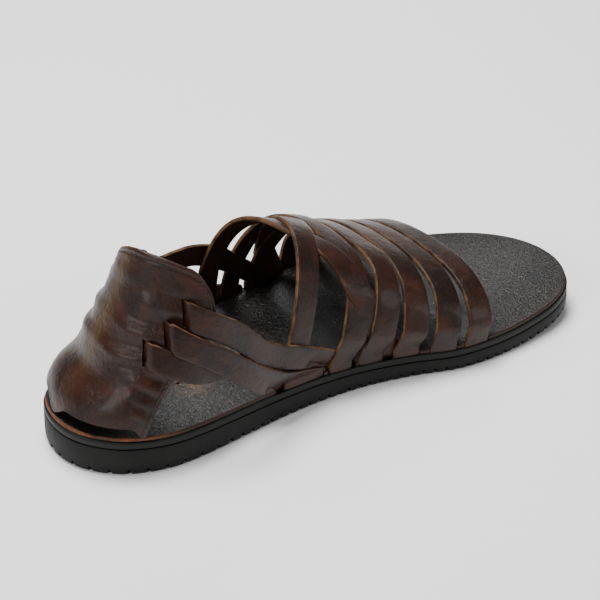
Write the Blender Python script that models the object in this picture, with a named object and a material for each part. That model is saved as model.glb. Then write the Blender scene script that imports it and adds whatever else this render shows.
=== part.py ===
"""Woven leather sandal with a closed heel, left shoe, size 42 to 43.

Frame: metres, origin on the floor under the middle of the heel, +X towards the toe, +Y towards the
outer (lateral) side of the foot, +Z up. The shoe stands unbent on its outsole.

The straps and the heel counter are all laid on one foot form, the last. The last is one smooth
function of the sizes below, and each strap is a ribbon that follows a few marks on it.
"""
import math

import bpy
import bmesh
from mathutils import Vector

# Sole sizes
SOLE_LENGTH = 0.288
HEEL_WIDTH = 0.080
WAIST_WIDTH = 0.0875
BALL_WIDTH = 0.1095
TOE_WIDTH = 0.092
HEEL_REST = 0.040
HEEL_STACK = 0.0192
BALL_STACK = 0.0122
TOE_SPRING = 0.0055
MIDSOLE_THICKNESS = 0.0040
INSOLE_THICKNESS = 0.0018
INSOLE_INSET = 0.0010
SOLE_EDGE_BEVEL = 0.0012
MIDSOLE_INSET = 0.0002

# Side notches of the outsole, the open ends of its tread grooves
NOTCH_WIDTH = 0.0018
NOTCH_HEIGHT = 0.0028
NOTCH_DEPTH = 0.0060
NOTCH_PITCH_HEEL = 0.0090
NOTCH_PITCH_FRONT = 0.0056

# Leather and clearances
STRAP_WIDTH = 0.0130
HEEL_STRAP_WIDTH = 0.0125
STRAP_THICKNESS = 0.0022
COUNTER_THICKNESS = 0.0020
GAP = 0.0004
SEAT_GAP = 0.0003
CURVED_GAP = 0.0006
SLIT_MARGIN = 0.0007
SLIT_REACH = 0.0060

# Foot form
COUNTER_HEIGHT = 0.104
OUTER_DROP = 0.075
OUTER_TUCK = 0.0060
INSTEP_HEIGHT = 0.056
LAST_BULGE = -0.0013
LAST_POWER = 2.3

# Strap ends in the sole
TONGUE_LENGTH = 0.0080
BEND_RADIUS = 0.0018
FOOT_RISE = 0.0045
NARROW_FOOT = 0.0150
WIDE_FOOT = 0.0230
POCKET_REACH = 0.0040

# Sole outline, heel to toe: share of SOLE_LENGTH, the width that the row follows, and how far the
# inner (medial) and outer (lateral) edges lie from the heel's centre line as shares of that width
OUTLINE = [
    {"along": 0.000, "width": HEEL_WIDTH, "medial": 0.00, "lateral": 0.00},
    {"along": 0.010, "width": HEEL_WIDTH, "medial": 0.18, "lateral": 0.19},
    {"along": 0.042, "width": HEEL_WIDTH, "medial": 0.34, "lateral": 0.32},
    {"along": 0.083, "width": HEEL_WIDTH, "medial": 0.44, "lateral": 0.41},
    {"along": 0.146, "width": HEEL_WIDTH, "medial": 0.50, "lateral": 0.475},
    {"along": 0.208, "width": HEEL_WIDTH, "medial": 0.49, "lateral": 0.525},
    {"along": 0.292, "width": WAIST_WIDTH, "medial": 0.40, "lateral": 0.525},
    {"along": 0.375, "width": WAIST_WIDTH, "medial": 0.353, "lateral": 0.60},
    {"along": 0.458, "width": WAIST_WIDTH, "medial": 0.325, "lateral": 0.685},
    {"along": 0.542, "width": BALL_WIDTH, "medial": 0.263, "lateral": 0.613},
    {"along": 0.625, "width": BALL_WIDTH, "medial": 0.296, "lateral": 0.656},
    {"along": 0.708, "width": BALL_WIDTH, "medial": 0.350, "lateral": 0.653},
    {"along": 0.792, "width": BALL_WIDTH, "medial": 0.350, "lateral": 0.612},
    {"along": 0.875, "width": TOE_WIDTH, "medial": 0.375, "lateral": 0.62},
    {"along": 0.930, "width": TOE_WIDTH, "medial": 0.320, "lateral": 0.50},
    {"along": 0.978, "width": TOE_WIDTH, "medial": 0.200, "lateral": 0.305},
    {"along": 1.000, "width": TOE_WIDTH, "medial": -0.03, "lateral": 0.03},
]

# Heel form: height as a share of COUNTER_HEIGHT, place of its rearmost point as a share of
# SOLE_LENGTH, and half breadth as a share of HEEL_WIDTH
HEEL_FORM = [
    {"height": 0.12, "rear": 0.021, "half": 0.430},
    {"height": 0.22, "rear": 0.024, "half": 0.438},
    {"height": 0.30, "rear": 0.036, "half": 0.432},
    {"height": 0.40, "rear": 0.066, "half": 0.415},
    {"height": 0.52, "rear": 0.091, "half": 0.388},
    {"height": 0.68, "rear": 0.120, "half": 0.352},
    {"height": 0.84, "rear": 0.142, "half": 0.318},
    {"height": 1.00, "rear": 0.156, "half": 0.292},
]
HEEL_ROUND = 0.135

# Crown of the foot form: share of SOLE_LENGTH, height above the insole as a share of INSTEP_HEIGHT,
# and place of the crown across the foot, from 0 at the inner edge to 1 at the outer edge
CROWN = [
    {"along": 0.20, "height": 2.55, "across": 0.48},
    {"along": 0.28, "height": 2.05, "across": 0.47},
    {"along": 0.36, "height": 1.45, "across": 0.45},
    {"along": 0.43, "height": 1.12, "across": 0.43},
    {"along": 0.50, "height": 0.95, "across": 0.42},
    {"along": 0.57, "height": 0.80, "across": 0.41},
    {"along": 0.64, "height": 0.66, "across": 0.41},
    {"along": 0.71, "height": 0.54, "across": 0.42},
    {"along": 0.78, "height": 0.45, "across": 0.43},
    {"along": 0.90, "height": 0.36, "across": 0.44},
]
BLEND_FROM = 0.17
BLEND_TO = 0.34

# Heights, as shares of COUNTER_HEIGHT, between which the outer side of the heel tucks in, and between
# which the outer side of the straps comes down by OUTER_DROP
TUCK_FROM = 0.20
TUCK_TO = 0.42
DROP_FROM = 0.15
DROP_TO = 0.70

# Steps for slopes taken by difference: along the edge as a share of SOLE_LENGTH, and in the last
EDGE_STEP = 0.004
PROBE_STEP = 0.0004


def clamp(value, low=0.0, high=1.0):
    return max(low, min(high, value))


def smooth(value):
    value = clamp(value)
    return value * value * (3.0 - 2.0 * value)


def curve_through(knots, values, at):
    """Reads a smooth curve through the knots, with Catmull-Rom slopes, flat beyond its ends."""
    if at <= knots[0]:
        return values[0]
    if at >= knots[-1]:
        return values[-1]
    index = max(i for i in range(len(knots) - 1) if knots[i] <= at)

    def slope(i):
        low, high = max(i - 1, 0), min(i + 1, len(knots) - 1)
        return (values[high] - values[low]) / (knots[high] - knots[low])

    span = knots[index + 1] - knots[index]
    t = (at - knots[index]) / span
    start, end = slope(index) * span, slope(index + 1) * span
    return ((2 * t ** 3 - 3 * t ** 2 + 1) * values[index] + (t ** 3 - 2 * t ** 2 + t) * start
            + (3 * t ** 2 - 2 * t ** 3) * values[index + 1] + (t ** 3 - t ** 2) * end)


def column(table, name, at, key="along"):
    return curve_through([row[key] for row in table], [row[name] for row in table], at)


def edge_distance(along, side):
    """Distance of the sole's edge from the centre line, side -1 for the inner edge, 1 for the outer."""
    name = "medial" if side < 0 else "lateral"
    spread = [math.sqrt(max(row["along"], 0.0)) for row in OUTLINE]
    sizes = [row[name] * row["width"] for row in OUTLINE]
    if along < 0.15:
        return curve_through(spread, sizes, math.sqrt(max(along, 0.0)))
    if along > 0.85:
        back = [math.sqrt(1.0 - row["along"]) for row in reversed(OUTLINE)]
        return curve_through(back, list(reversed(sizes)), math.sqrt(max(1.0 - along, 0.0)))
    return curve_through([row["along"] for row in OUTLINE], sizes, along)


def along_of(x):
    return clamp((x + HEEL_REST) / SOLE_LENGTH)


def x_of(along):
    return along * SOLE_LENGTH - HEEL_REST


def floor_rise(x):
    """Height of the outsole's underside, flat but for the toe spring."""
    return TOE_SPRING * clamp((along_of(x) - 0.78) / 0.22) ** 1.8


def stack_top(x):
    """Top of the midsole, which thins from the heel to the ball."""
    share = clamp(along_of(x) / 0.66)
    return floor_rise(x) + HEEL_STACK + (BALL_STACK - HEEL_STACK) * share


def midsole_bottom(x):
    return stack_top(x) - MIDSOLE_THICKNESS


def outsole_top(x):
    return midsole_bottom(x) - SEAT_GAP


def insole_bottom(x):
    return stack_top(x) + SEAT_GAP


def insole_top(x):
    return insole_bottom(x) + INSOLE_THICKNESS


def edge_point(along, side):
    """Point of the sole's edge, its outward direction and its direction towards the toe, seen from above."""
    here = Vector((x_of(along), side * edge_distance(along, side), 0.0))
    before = Vector((x_of(along - EDGE_STEP), side * edge_distance(along - EDGE_STEP, side), 0.0))
    after = Vector((x_of(along + EDGE_STEP), side * edge_distance(along + EDGE_STEP, side), 0.0))
    forward = (after - before).normalized()
    outward = Vector((-forward.y, forward.x, 0.0)) * side
    return here, outward, forward


# The last

def heel_half(z):
    return HEEL_WIDTH * column(HEEL_FORM, "half", z / COUNTER_HEIGHT, key="height")


def heel_rear(z):
    return x_of(column(HEEL_FORM, "rear", z / COUNTER_HEIGHT, key="height"))


def crown_height(x):
    return INSTEP_HEIGHT * column(CROWN, "height", along_of(x))


def middle_line(x):
    """Sideways place of the crown line."""
    inner = -edge_distance(along_of(x), -1)
    outer = edge_distance(along_of(x), 1)
    share = smooth((along_of(x) - BLEND_FROM) / (BLEND_TO - BLEND_FROM))
    return share * (inner + (outer - inner) * column(CROWN, "across", along_of(x)))


def breadth(x, z, side):
    """Half breadth of the last from its crown line to one side, before it is rounded over the top."""
    share = smooth((along_of(x) - BLEND_FROM) / (BLEND_TO - BLEND_FROM))
    foot = edge_distance(along_of(x), side) + LAST_BULGE - side * middle_line(x)
    heel = heel_half(z)
    if side > 0:
        heel -= OUTER_TUCK * smooth((z / COUNTER_HEIGHT - TUCK_FROM) / (TUCK_TO - TUCK_FROM))
    return (1.0 - share) * heel + share * foot


def last_level(point):
    """One on the surface of the last, less inside it and more outside."""
    x, y, z = point
    base = insole_top(x)
    across = abs(y - middle_line(x)) / breadth(x, z, -1 if y < middle_line(x) else 1)
    upward = max(0.0, z - base) / crown_height(x)
    heel_length = HEEL_ROUND * SOLE_LENGTH
    rearward = max(0.0, heel_rear(z) + heel_length - x) / heel_length
    total = across ** LAST_POWER + upward ** LAST_POWER + rearward ** LAST_POWER
    return total ** (1.0 / LAST_POWER)


def last_gradient(point):
    slopes = []
    for axis in range(3):
        shift = Vector((0.0, 0.0, 0.0))
        shift[axis] = PROBE_STEP
        slopes.append((last_level(point + shift) - last_level(point - shift)) / (2.0 * PROBE_STEP))
    return Vector(slopes)


def on_last(point, lift=0.0):
    """Moves a point onto the last, then off it by lift. Returns the place and the outward direction."""
    place = Vector(point)
    for _ in range(12):
        gradient = last_gradient(place)
        place = place - gradient * ((last_level(place) - 1.0) / gradient.length_squared)
    outward = last_gradient(place).normalized()
    return place + outward * lift, outward


def heel_guess(turn, z, side):
    """A point near the heel of the last: turn 0 is rearmost, 1 is where the heel's round ends."""
    angle = turn * math.pi / 2.0
    length = HEEL_ROUND * SOLE_LENGTH
    return Vector((heel_rear(z) + length * (1.0 - math.cos(angle)), side * heel_half(z) * math.sin(angle), z))


def side_place(along, z, side):
    """The point of one side of the last at a given place along the shoe and height."""
    x = x_of(along)
    low, high = 0.0, breadth(x, z, side) * 1.1
    for _ in range(24):
        middle = 0.5 * (low + high)
        if last_level((x, middle_line(x) + side * middle, z)) < 1.0:
            low = middle
        else:
            high = middle
    return Vector((x, middle_line(x) + side * 0.5 * (low + high), z))


def arch_guess(along, turn):
    """A point near the last over the foot: turn 0 at the inner edge, 0.5 on the crown, 1 at the outer edge."""
    x = x_of(along)
    side = -1 if turn < 0.5 else 1
    angle = turn * math.pi
    y = middle_line(x) - breadth(x, insole_top(x), side) * math.cos(angle)
    return Vector((x, y, insole_top(x) + crown_height(x) * math.sin(angle)))


# Mesh helpers

def add_object(name, vertices, faces, material):
    mesh = bpy.data.meshes.new(name)
    mesh.from_pydata([tuple(v) for v in vertices], [], faces)
    mesh.validate()
    shape = bmesh.new()
    shape.from_mesh(mesh)
    bmesh.ops.recalc_face_normals(shape, faces=shape.faces)
    shape.to_mesh(mesh)
    shape.free()
    thing = bpy.data.objects.new(name, mesh)
    bpy.context.collection.objects.link(thing)
    if material:
        mesh.materials.append(material)
    return thing


def hide_tool(thing):
    thing.hide_render = True
    thing.display_type = "WIRE"
    thing.hide_set(True)


def combine(thing, tool, operation):
    """Applies one exact boolean and deletes the tool."""
    step = thing.modifiers.new(operation.lower(), "BOOLEAN")
    step.operation = operation
    step.solver = "EXACT"
    step.object = tool
    depsgraph = bpy.context.evaluated_depsgraph_get()
    mesh = bpy.data.meshes.new_from_object(thing.evaluated_get(depsgraph))
    thing.modifiers.remove(step)
    old = thing.data
    thing.data = mesh
    bpy.data.meshes.remove(old)
    bpy.data.objects.remove(tool, do_unlink=True)


def fill_hollows(thing):
    """Makes the straps solid where two of them close in a pocket of air between their layers."""
    shape = bmesh.new()
    shape.from_mesh(thing.data)
    waiting = set(shape.faces)
    while waiting:
        first = waiting.pop()
        shell = [first]
        for face in shell:
            for edge in face.edges:
                for other in edge.link_faces:
                    if other in waiting:
                        waiting.remove(other)
                        shell.append(other)
        volume = sum(face.normal.dot(face.calc_center_median()) * face.calc_area() for face in shell) / 3.0
        if volume < 0.0:
            corners = list({corner for face in shell for corner in face.verts})
            bmesh.ops.delete(shape, geom=corners, context="VERTS")
    shape.to_mesh(thing.data)
    shape.free()


def drop_folds(thing):
    """Takes out pairs of triangles that lie back to back on the same corners, left where edges meet."""
    shape = bmesh.new()
    shape.from_mesh(thing.data)
    bmesh.ops.triangulate(shape, faces=shape.faces)
    shape.verts.index_update()
    single = {}
    doubled = []
    for face in shape.faces:
        corners = frozenset(corner.index for corner in face.verts)
        if corners in single:
            doubled += [face, single.pop(corners)]
        else:
            single[corners] = face
    bmesh.ops.delete(shape, geom=doubled, context="FACES")
    shape.to_mesh(thing.data)
    shape.free()


def blocks(name, rows):
    """A cutter of separate blocks, each a centre and three half edges that need not be square."""
    corners = []
    faces = []
    for centre, half_a, half_b, half_c in rows:
        start = len(corners)
        for a in (-1, 1):
            for b in (-1, 1):
                for c in (-1, 1):
                    corners.append(centre + half_a * a + half_b * b + half_c * c)
        for face in ((0, 1, 3, 2), (4, 6, 7, 5), (0, 4, 5, 1), (2, 3, 7, 6), (0, 2, 6, 4), (1, 5, 7, 3)):
            faces.append(tuple(start + corner for corner in face))
    tool = add_object(name, corners, faces, None)
    hide_tool(tool)
    return tool


def block(name, centre, half_a, half_b, half_c):
    return blocks(name, [(centre, half_a, half_b, half_c)])


def finish(thing, sharp_angle=40.0):
    thing.data.name = thing.name
    thing.data.shade_smooth()
    thing.data.set_sharp_from_angle(angle=math.radians(sharp_angle))


def leather_or_rubber(name, colour, roughness):
    material = bpy.data.materials.new(name)
    material.use_nodes = True
    shader = material.node_tree.nodes["Principled BSDF"]
    shader.inputs["Base Color"].default_value = (*colour, 1.0)
    shader.inputs["Roughness"].default_value = roughness
    shader.inputs["Metallic"].default_value = 0.0
    return material


# Sole

SOLE_STATIONS = 34


def outline_ring(inset):
    """Edge points from the heel tip along the inner side to the toe tip and back along the outer side."""
    shares = [0.5 - 0.5 * math.cos(math.pi * i / SOLE_STATIONS) for i in range(SOLE_STATIONS + 1)]
    inner = []
    outer = []
    for share in shares[1:-1]:
        for side, points in ((-1, inner), (1, outer)):
            here, outward, _ = edge_point(share, side)
            points.append(here - outward * inset)
    heel_tip = Vector((x_of(0.0) + inset, 0.0, 0.0))
    toe_y = edge_distance(1.0, 1)
    toe_tip = Vector((x_of(1.0) - inset, toe_y, 0.0))
    return heel_tip, inner, toe_tip, outer


def sole_layer(name, rings, material):
    """A slab of the sole. Each ring is an inset and a function for its height, lowest first."""
    vertices = []
    count = 2 * SOLE_STATIONS
    for inset, height in rings:
        heel_tip, inner, toe_tip, outer = outline_ring(inset)
        loop = [heel_tip] + inner + [toe_tip] + list(reversed(outer))
        vertices += [Vector((p.x, p.y, height(p.x))) for p in loop]
    faces = []
    for ring in range(len(rings) - 1):
        for i in range(count):
            j = (i + 1) % count
            low, high = ring * count, (ring + 1) * count
            faces.append((low + i, low + j, high + j, high + i))
    for ring in (0, len(rings) - 1):
        start = ring * count
        faces.append((start, start + 1, start + count - 1))
        for i in range(1, SOLE_STATIONS - 1):
            faces.append((start + i, start + i + 1, start + count - i - 1, start + count - i))
        faces.append((start + SOLE_STATIONS - 1, start + SOLE_STATIONS, start + SOLE_STATIONS + 1))
    return add_object(name, vertices, faces, material)


def notch_shares(side):
    """Places of the side notches as shares of the length, wider apart round the heel than further on."""
    places = []
    travelled = NOTCH_PITCH_HEEL / 2.0
    before = edge_point(0.0, side)[0]
    steps = 500
    for i in range(1, steps):
        share = 0.985 * i / steps
        here = edge_point(share, side)[0]
        travelled += (here - before).length
        before = here
        closer = smooth((share - 0.22) / 0.10)
        if travelled >= NOTCH_PITCH_HEEL + (NOTCH_PITCH_FRONT - NOTCH_PITCH_HEEL) * closer:
            travelled = 0.0
            places.append(share)
    return places


def make_outsole(material):
    outsole = sole_layer("outsole", [
        (SOLE_EDGE_BEVEL, floor_rise),
        (0.0, lambda x: floor_rise(x) + SOLE_EDGE_BEVEL),
        (0.0, outsole_top),
    ], material)
    notches = []
    for side in (-1, 1):
        for share in notch_shares(side):
            here, outward, forward = edge_point(share, side)
            centre = here + Vector((0.0, 0.0, floor_rise(here.x)))
            notches.append((centre, forward * (NOTCH_WIDTH / 2.0), outward * NOTCH_DEPTH,
                            Vector((0.0, 0.0, NOTCH_HEIGHT))))
    combine(outsole, blocks("notch_tool", notches), "DIFFERENCE")
    finish(outsole)
    return outsole


# Straps

FLAT = STRAP_THICKNESS / 2.0
OVER = STRAP_THICKNESS * 1.44
COUNTER_INSIDE = STRAP_THICKNESS + CURVED_GAP
COUNTER_OUTSIDE = COUNTER_INSIDE + COUNTER_THICKNESS
ON_COUNTER = COUNTER_OUTSIDE + CURVED_GAP + STRAP_THICKNESS / 2.0
ON_TWO = ON_COUNTER + STRAP_THICKNESS * 0.94
OUTER_FOOT = GAP * 2.0 + STRAP_THICKNESS / 2.0
INNER_FOOT = OUTER_FOOT + STRAP_THICKNESS * 0.94
STATION_SPACING = 0.0055
HEEL_STATION_SPACING = 0.0037
FINE_SPACING = 0.0006
SLIT_RUN = 0.0040
ARCH_START = 0.09

# How much a heel strap rises or falls over a mark where it leaves one layer for another
EASE = 0.0006

# Straps that cross the foot: their places along the sole at the inner edge, crown and outer edge as
# shares of SOLE_LENGTH, how deep each end sits in the sole's edge, and the lift at five even marks.
# The two nearest the toe cross no other strap, so they are pieces of their own
CROSS_STRAPS = [
    {"name": "cross_rear", "inner": 0.490, "crown": 0.545, "outer": 0.424,
     "ends": (OUTER_FOOT, OUTER_FOOT), "lifts": (OVER, FLAT, FLAT, OVER, OVER)},
    {"name": "cross_instep", "inner": 0.547, "crown": 0.597, "outer": 0.484,
     "ends": (OUTER_FOOT, OUTER_FOOT), "lifts": (OVER, OVER, FLAT, FLAT, FLAT)},
    {"name": "cross_middle", "inner": 0.612, "crown": 0.648, "outer": 0.566,
     "ends": (OUTER_FOOT, OUTER_FOOT), "lifts": (OVER, FLAT, FLAT, FLAT, OVER)},
    {"name": "ball_strap", "inner": 0.677, "crown": 0.698, "outer": 0.620,
     "ends": (OUTER_FOOT, OUTER_FOOT), "lifts": (FLAT, FLAT, FLAT, FLAT, FLAT)},
    {"name": "toe_strap", "inner": 0.740, "crown": 0.750, "outer": 0.676,
     "ends": (OUTER_FOOT, OUTER_FOOT), "lifts": (FLAT, FLAT, FLAT, FLAT, FLAT)},
    {"name": "diagonal_inner", "inner": 0.382, "crown": 0.480, "outer": 0.526,
     "ends": (INNER_FOOT, INNER_FOOT), "lifts": (FLAT, FLAT, OVER, FLAT, OVER)},
    {"name": "diagonal_outer", "inner": 0.582, "crown": 0.480, "outer": 0.362,
     "ends": (INNER_FOOT, INNER_FOOT), "lifts": (FLAT, OVER, FLAT, FLAT, FLAT)},
]

FREE_STRAPS = ("ball_strap", "toe_strap")

# Straps that run round the heel inside the counter, out through a slit on each side and forward.
# rear is their height at the back, slit their way out, then marks forward of it. Places are shares
# of SOLE_LENGTH and heights shares of COUNTER_HEIGHT, with an outer height where the strap runs
# otherwise on that side. foot is where they enter the sole's edge
HEEL_STRAPS = [
    {"name": "heel_strap_top", "rear": 0.832, "slit": {"along": 0.206, "height": 0.712},
     "before": {"along": 0.168, "height": 0.785},
     "marks": [{"along": 0.242, "height": 0.648, "outer": 0.575, "lift": ON_COUNTER},
               {"along": 0.280, "height": 0.562, "outer": 0.515, "lift": ON_COUNTER - 2.0 * EASE},
               {"along": 0.318, "height": 0.446, "outer": 0.490, "lift": OVER + 2.0 * EASE},
               {"along": 0.352, "height": 0.372, "outer": 0.480, "lift": OVER},
               {"along": 0.402, "height": 0.314, "outer": 0.410, "lift": OVER},
               {"along": 0.445, "height": 0.271, "outer": 0.310, "lift": FLAT}],
     "foot": {"along": 0.492, "inset": INNER_FOOT, "width": NARROW_FOOT}},
    {"name": "heel_strap_middle", "rear": 0.697, "slit": {"along": 0.174, "height": 0.625},
     "before": {"along": 0.140, "height": 0.674},
     "marks": [{"along": 0.206, "height": 0.566, "lift": ON_TWO - EASE},
               {"along": 0.238, "height": 0.502, "lift": ON_TWO},
               {"along": 0.268, "height": 0.426, "lift": ON_TWO},
               {"along": 0.310, "height": 0.324, "lift": ON_TWO - 2.0 * EASE},
               {"along": 0.350, "height": 0.247, "lift": OVER + 2.0 * EASE}],
     "foot": {"along": 0.416, "inset": OUTER_FOOT, "width": WIDE_FOOT}},
    {"name": "heel_strap_low", "rear": 0.562, "slit": {"along": 0.140, "height": 0.545},
     "before": {"along": 0.110, "height": 0.568},
     "marks": [{"along": 0.168, "height": 0.500, "lift": ON_COUNTER},
               {"along": 0.198, "height": 0.466, "lift": ON_COUNTER},
               {"along": 0.232, "height": 0.442, "lift": OVER + 2.0 * EASE},
               {"along": 0.268, "height": 0.426, "lift": OVER + 2.0 * EASE},
               {"along": 0.304, "height": 0.360, "lift": OVER + EASE},
               {"along": 0.330, "height": 0.306, "lift": OVER}],
     "foot": None},
]


def strap_height(mark, side, share=1.0):
    """Height of a heel strap's mark, lower on the outer side, where the ankle bone is lower."""
    height = mark["height"]
    if side > 0:
        lower = OUTER_DROP * share * smooth((height - DROP_FROM) / (DROP_TO - DROP_FROM))
        height = mark.get("outer", height - lower)
    return height * COUNTER_HEIGHT


def spline(marks, spacing):
    """Even points on a Catmull-Rom curve through marks, each a list of numbers, the first three a place."""
    points = []
    ends = [marks[0]] + marks + [marks[-1]]
    for i in range(1, len(ends) - 2):
        before, start, end, after = ends[i - 1:i + 3]
        length = math.dist(start[:3], end[:3])
        steps = max(2, round(length / spacing))
        for k in range(steps):
            t = k / steps
            row = []
            for a, b, c, d in zip(before, start, end, after):
                row.append(0.5 * (2 * b + (c - a) * t + (2 * a - 5 * b + 4 * c - d) * t ** 2
                                  + (3 * b - a - 3 * c + d) * t ** 3))
            points.append(row)
    points.append(list(marks[-1]))
    return points


def foot_stations(along, side, inset, width):
    """Ribbon stations of a strap end, from its tongue under the insole, round the bend, to the edge."""
    here, outward, forward = edge_point(along, side)
    top = stack_top(here.x)
    level = top - SEAT_GAP - STRAP_THICKNESS / 2.0
    half = forward * (width / 2.0)
    down = Vector((0.0, 0.0, -1.0))
    stations = []
    for depth in (TONGUE_LENGTH, BEND_RADIUS):
        centre = here - outward * (inset + depth)
        stations.append((Vector((centre.x, centre.y, level)), down, half))
    for turn in (0.35, 0.7, 1.0):
        angle = turn * math.pi / 2.0
        centre = here - outward * (inset + BEND_RADIUS * (1.0 - math.sin(angle)))
        height = level + BEND_RADIUS * (1.0 - math.cos(angle))
        normal = (outward * math.sin(angle) + down * math.cos(angle)).normalized()
        stations.append((Vector((centre.x, centre.y, height)), normal, half))
    top_station = here - outward * (inset - GAP)
    stations.append((Vector((top_station.x, top_station.y, top + FOOT_RISE)), outward.copy(), half))
    return stations


def ribbon(name, stations, material):
    """A closed flat strap through stations of centre, outward direction and half width."""
    vertices = []
    previous = None
    for centre, outward, half in stations:
        if previous is not None and half.dot(previous) < 0.0:
            half = -half
        previous = half
        skin = outward * (STRAP_THICKNESS / 2.0)
        vertices += [centre - half - skin, centre + half - skin, centre + half + skin, centre - half + skin]
    faces = [(0, 1, 2, 3)]
    for i in range(len(stations) - 1):
        start = 4 * i
        for k in range(4):
            faces.append((start + k, start + 4 + k, start + 4 + (k + 1) % 4, start + (k + 1) % 4))
    end = 4 * (len(stations) - 1)
    faces.append((end + 3, end + 2, end + 1, end))
    return add_object(name, vertices, faces, material)


def cross_strap_stations(row):
    inner = foot_stations(row["inner"], -1, row["ends"][0], STRAP_WIDTH)
    outer = foot_stations(row["outer"], 1, row["ends"][1], STRAP_WIDTH)
    marks = []
    reach = 1.0 - 2.0 * ARCH_START
    for i in range(9):
        turn = ARCH_START + reach * i / 8
        bow = math.sin(math.pi * turn)
        straight = row["inner"] + (row["outer"] - row["inner"]) * turn
        middle = 0.5 * (row["inner"] + row["outer"])
        along = straight + (row["crown"] - middle) * bow
        lift = curve_through([0.0, 0.25, 0.5, 0.75, 1.0], list(row["lifts"]), (turn - ARCH_START) / reach)
        place, _ = on_last(arch_guess(along, turn))
        marks.append([*place, lift])
    body = []
    path = [on_last(p[:3], p[3]) for p in spline(marks, STATION_SPACING)]
    for i, (place, outward) in enumerate(path):
        ahead = path[min(i + 1, len(path) - 1)][0] - path[max(i - 1, 0)][0]
        half = outward.cross(ahead).normalized() * (STRAP_WIDTH / 2.0)
        body.append((place, outward, half))
    return inner + body + list(reversed(outer))


def heel_strap_half(row, side):
    """Marks of one side of a heel strap, from the back of the heel forward."""
    marks = []
    before = row["before"]
    reach = (x_of(before["along"]) - heel_rear(before["height"] * COUNTER_HEIGHT)) / (HEEL_ROUND * SOLE_LENGTH)
    last_turn = math.acos(clamp(1.0 - reach, -1.0, 1.0)) * 2.0 / math.pi
    for share in (0.0, 0.36, 0.72):
        height = row["rear"] + (before["height"] - row["rear"]) * share ** 2
        z = strap_height({"height": height}, side, share)
        place, _ = on_last(heel_guess(last_turn * share, z, side))
        marks.append([*place, FLAT])
    for mark in (before, row["slit"]):
        place = side_place(mark["along"], strap_height(mark, side), side)
        marks.append([*place, row["marks"][0]["lift"]])
    for mark in row["marks"]:
        place = side_place(mark["along"], strap_height(mark, side), side)
        marks.append([*place, mark["lift"]])
    return marks


def from_slit(points, slit_x):
    """Adds to each point how far along the path it lies from the slit, less than zero before it."""
    travel = 0.0
    zero = 0.0
    rows = []
    for i, here in enumerate(points):
        if i:
            travel += math.dist(points[i - 1][:3], here[:3])
        if here[0] < slit_x:
            zero = travel
        rows.append([*here, travel])
    return [row[:4] + [row[4] - zero] for row in rows]


def thin_out(points):
    """Keeps points at the station spacing, and the two where the strap starts and ends its way out."""
    kept = [points[0]]
    for before, here in zip(points, points[1:]):
        if before[4] < -SLIT_RUN / 2.0 <= here[4]:
            kept.append(before)
        elif before[4] < SLIT_RUN / 2.0 <= here[4]:
            kept.append(here)
        elif math.dist(kept[-1][:3], here[:3]) >= HEEL_STATION_SPACING:
            kept.append(here)
    return kept


def heel_strap_side(row, side):
    """Ribbon stations of one side of a heel strap, from the back of the heel to its front end."""
    fine = spline(heel_strap_half(row, side), FINE_SPACING)
    stations = []
    places = []
    for x, y, z, lift, travel in thin_out(from_slit(fine, x_of(row["slit"]["along"]))):
        out = clamp(travel / SLIT_RUN + 0.5)
        places.append(on_last((x, y, z), FLAT + (lift - FLAT) * out))
    up = Vector((0.0, 0.0, 1.0))
    for i, (place, outward) in enumerate(places):
        ahead = places[min(i + 1, len(places) - 1)][0] - places[max(i - 1, 0)][0]
        level = math.hypot(ahead.x, ahead.y) / max(ahead.length, 1e-6)
        upright = (up - outward * up.dot(outward)).normalized()
        half = upright * (HEEL_STRAP_WIDTH / 2.0 / max(level, 0.6))
        stations.append((place, outward, half))
    if row["foot"]:
        foot = row["foot"]
        end = list(reversed(foot_stations(foot["along"], side, foot["inset"], foot["width"])))
        turn_over = 4
        for k in range(1, turn_over):
            place, outward, half = stations[-turn_over + k]
            mix = smooth(k / turn_over) * 0.8
            stations[-turn_over + k] = (place, outward, half.lerp(end[0][2], mix))
        stations += end
    return stations


def make_straps(material):
    upper = None
    for row in HEEL_STRAPS:
        inner = heel_strap_side(row, -1)
        outer = heel_strap_side(row, 1)
        stations = list(reversed(inner)) + outer[1:]
        piece = ribbon(row["name"], stations, material)
        upper = join_piece(upper, piece)
    for row in CROSS_STRAPS:
        piece = ribbon(row["name"], cross_strap_stations(row), material)
        if row["name"] in FREE_STRAPS:
            finish(piece)
        else:
            upper = join_piece(upper, piece)
    upper.name = "woven_straps"
    fill_hollows(upper)
    drop_folds(upper)
    finish(upper)
    return upper


def join_piece(upper, piece):
    if upper is None:
        return piece
    combine(upper, piece, "UNION")
    return upper


# Heel counter

COUNTER_COLUMNS = 18
COUNTER_ROWS = 11

# Front edge of the counter: height as a share of COUNTER_HEIGHT and place as a share of SOLE_LENGTH
COUNTER_FRONT = [
    {"height": 0.17, "along": 0.106},
    {"height": 0.26, "along": 0.122},
    {"height": 0.42, "along": 0.164},
    {"height": 0.56, "along": 0.215},
    {"height": 0.66, "along": 0.246},
    {"height": 0.85, "along": 0.246},
]

# Rim of the counter: turn 0 at the back and 1 at its front edge, height as a share of COUNTER_HEIGHT
RIM = [
    {"turn": 0.0, "inner": 0.956, "outer": 0.956},
    {"turn": 0.2, "inner": 0.970, "outer": 0.922},
    {"turn": 0.4, "inner": 0.968, "outer": 0.842},
    {"turn": 0.6, "inner": 0.954, "outer": 0.785},
    {"turn": 0.8, "inner": 0.920, "outer": 0.748},
    {"turn": 1.0, "inner": 0.875, "outer": 0.710},
]
COUNTER_LIFT = 0.0045
CORNER_RADIUS = 0.010


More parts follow.
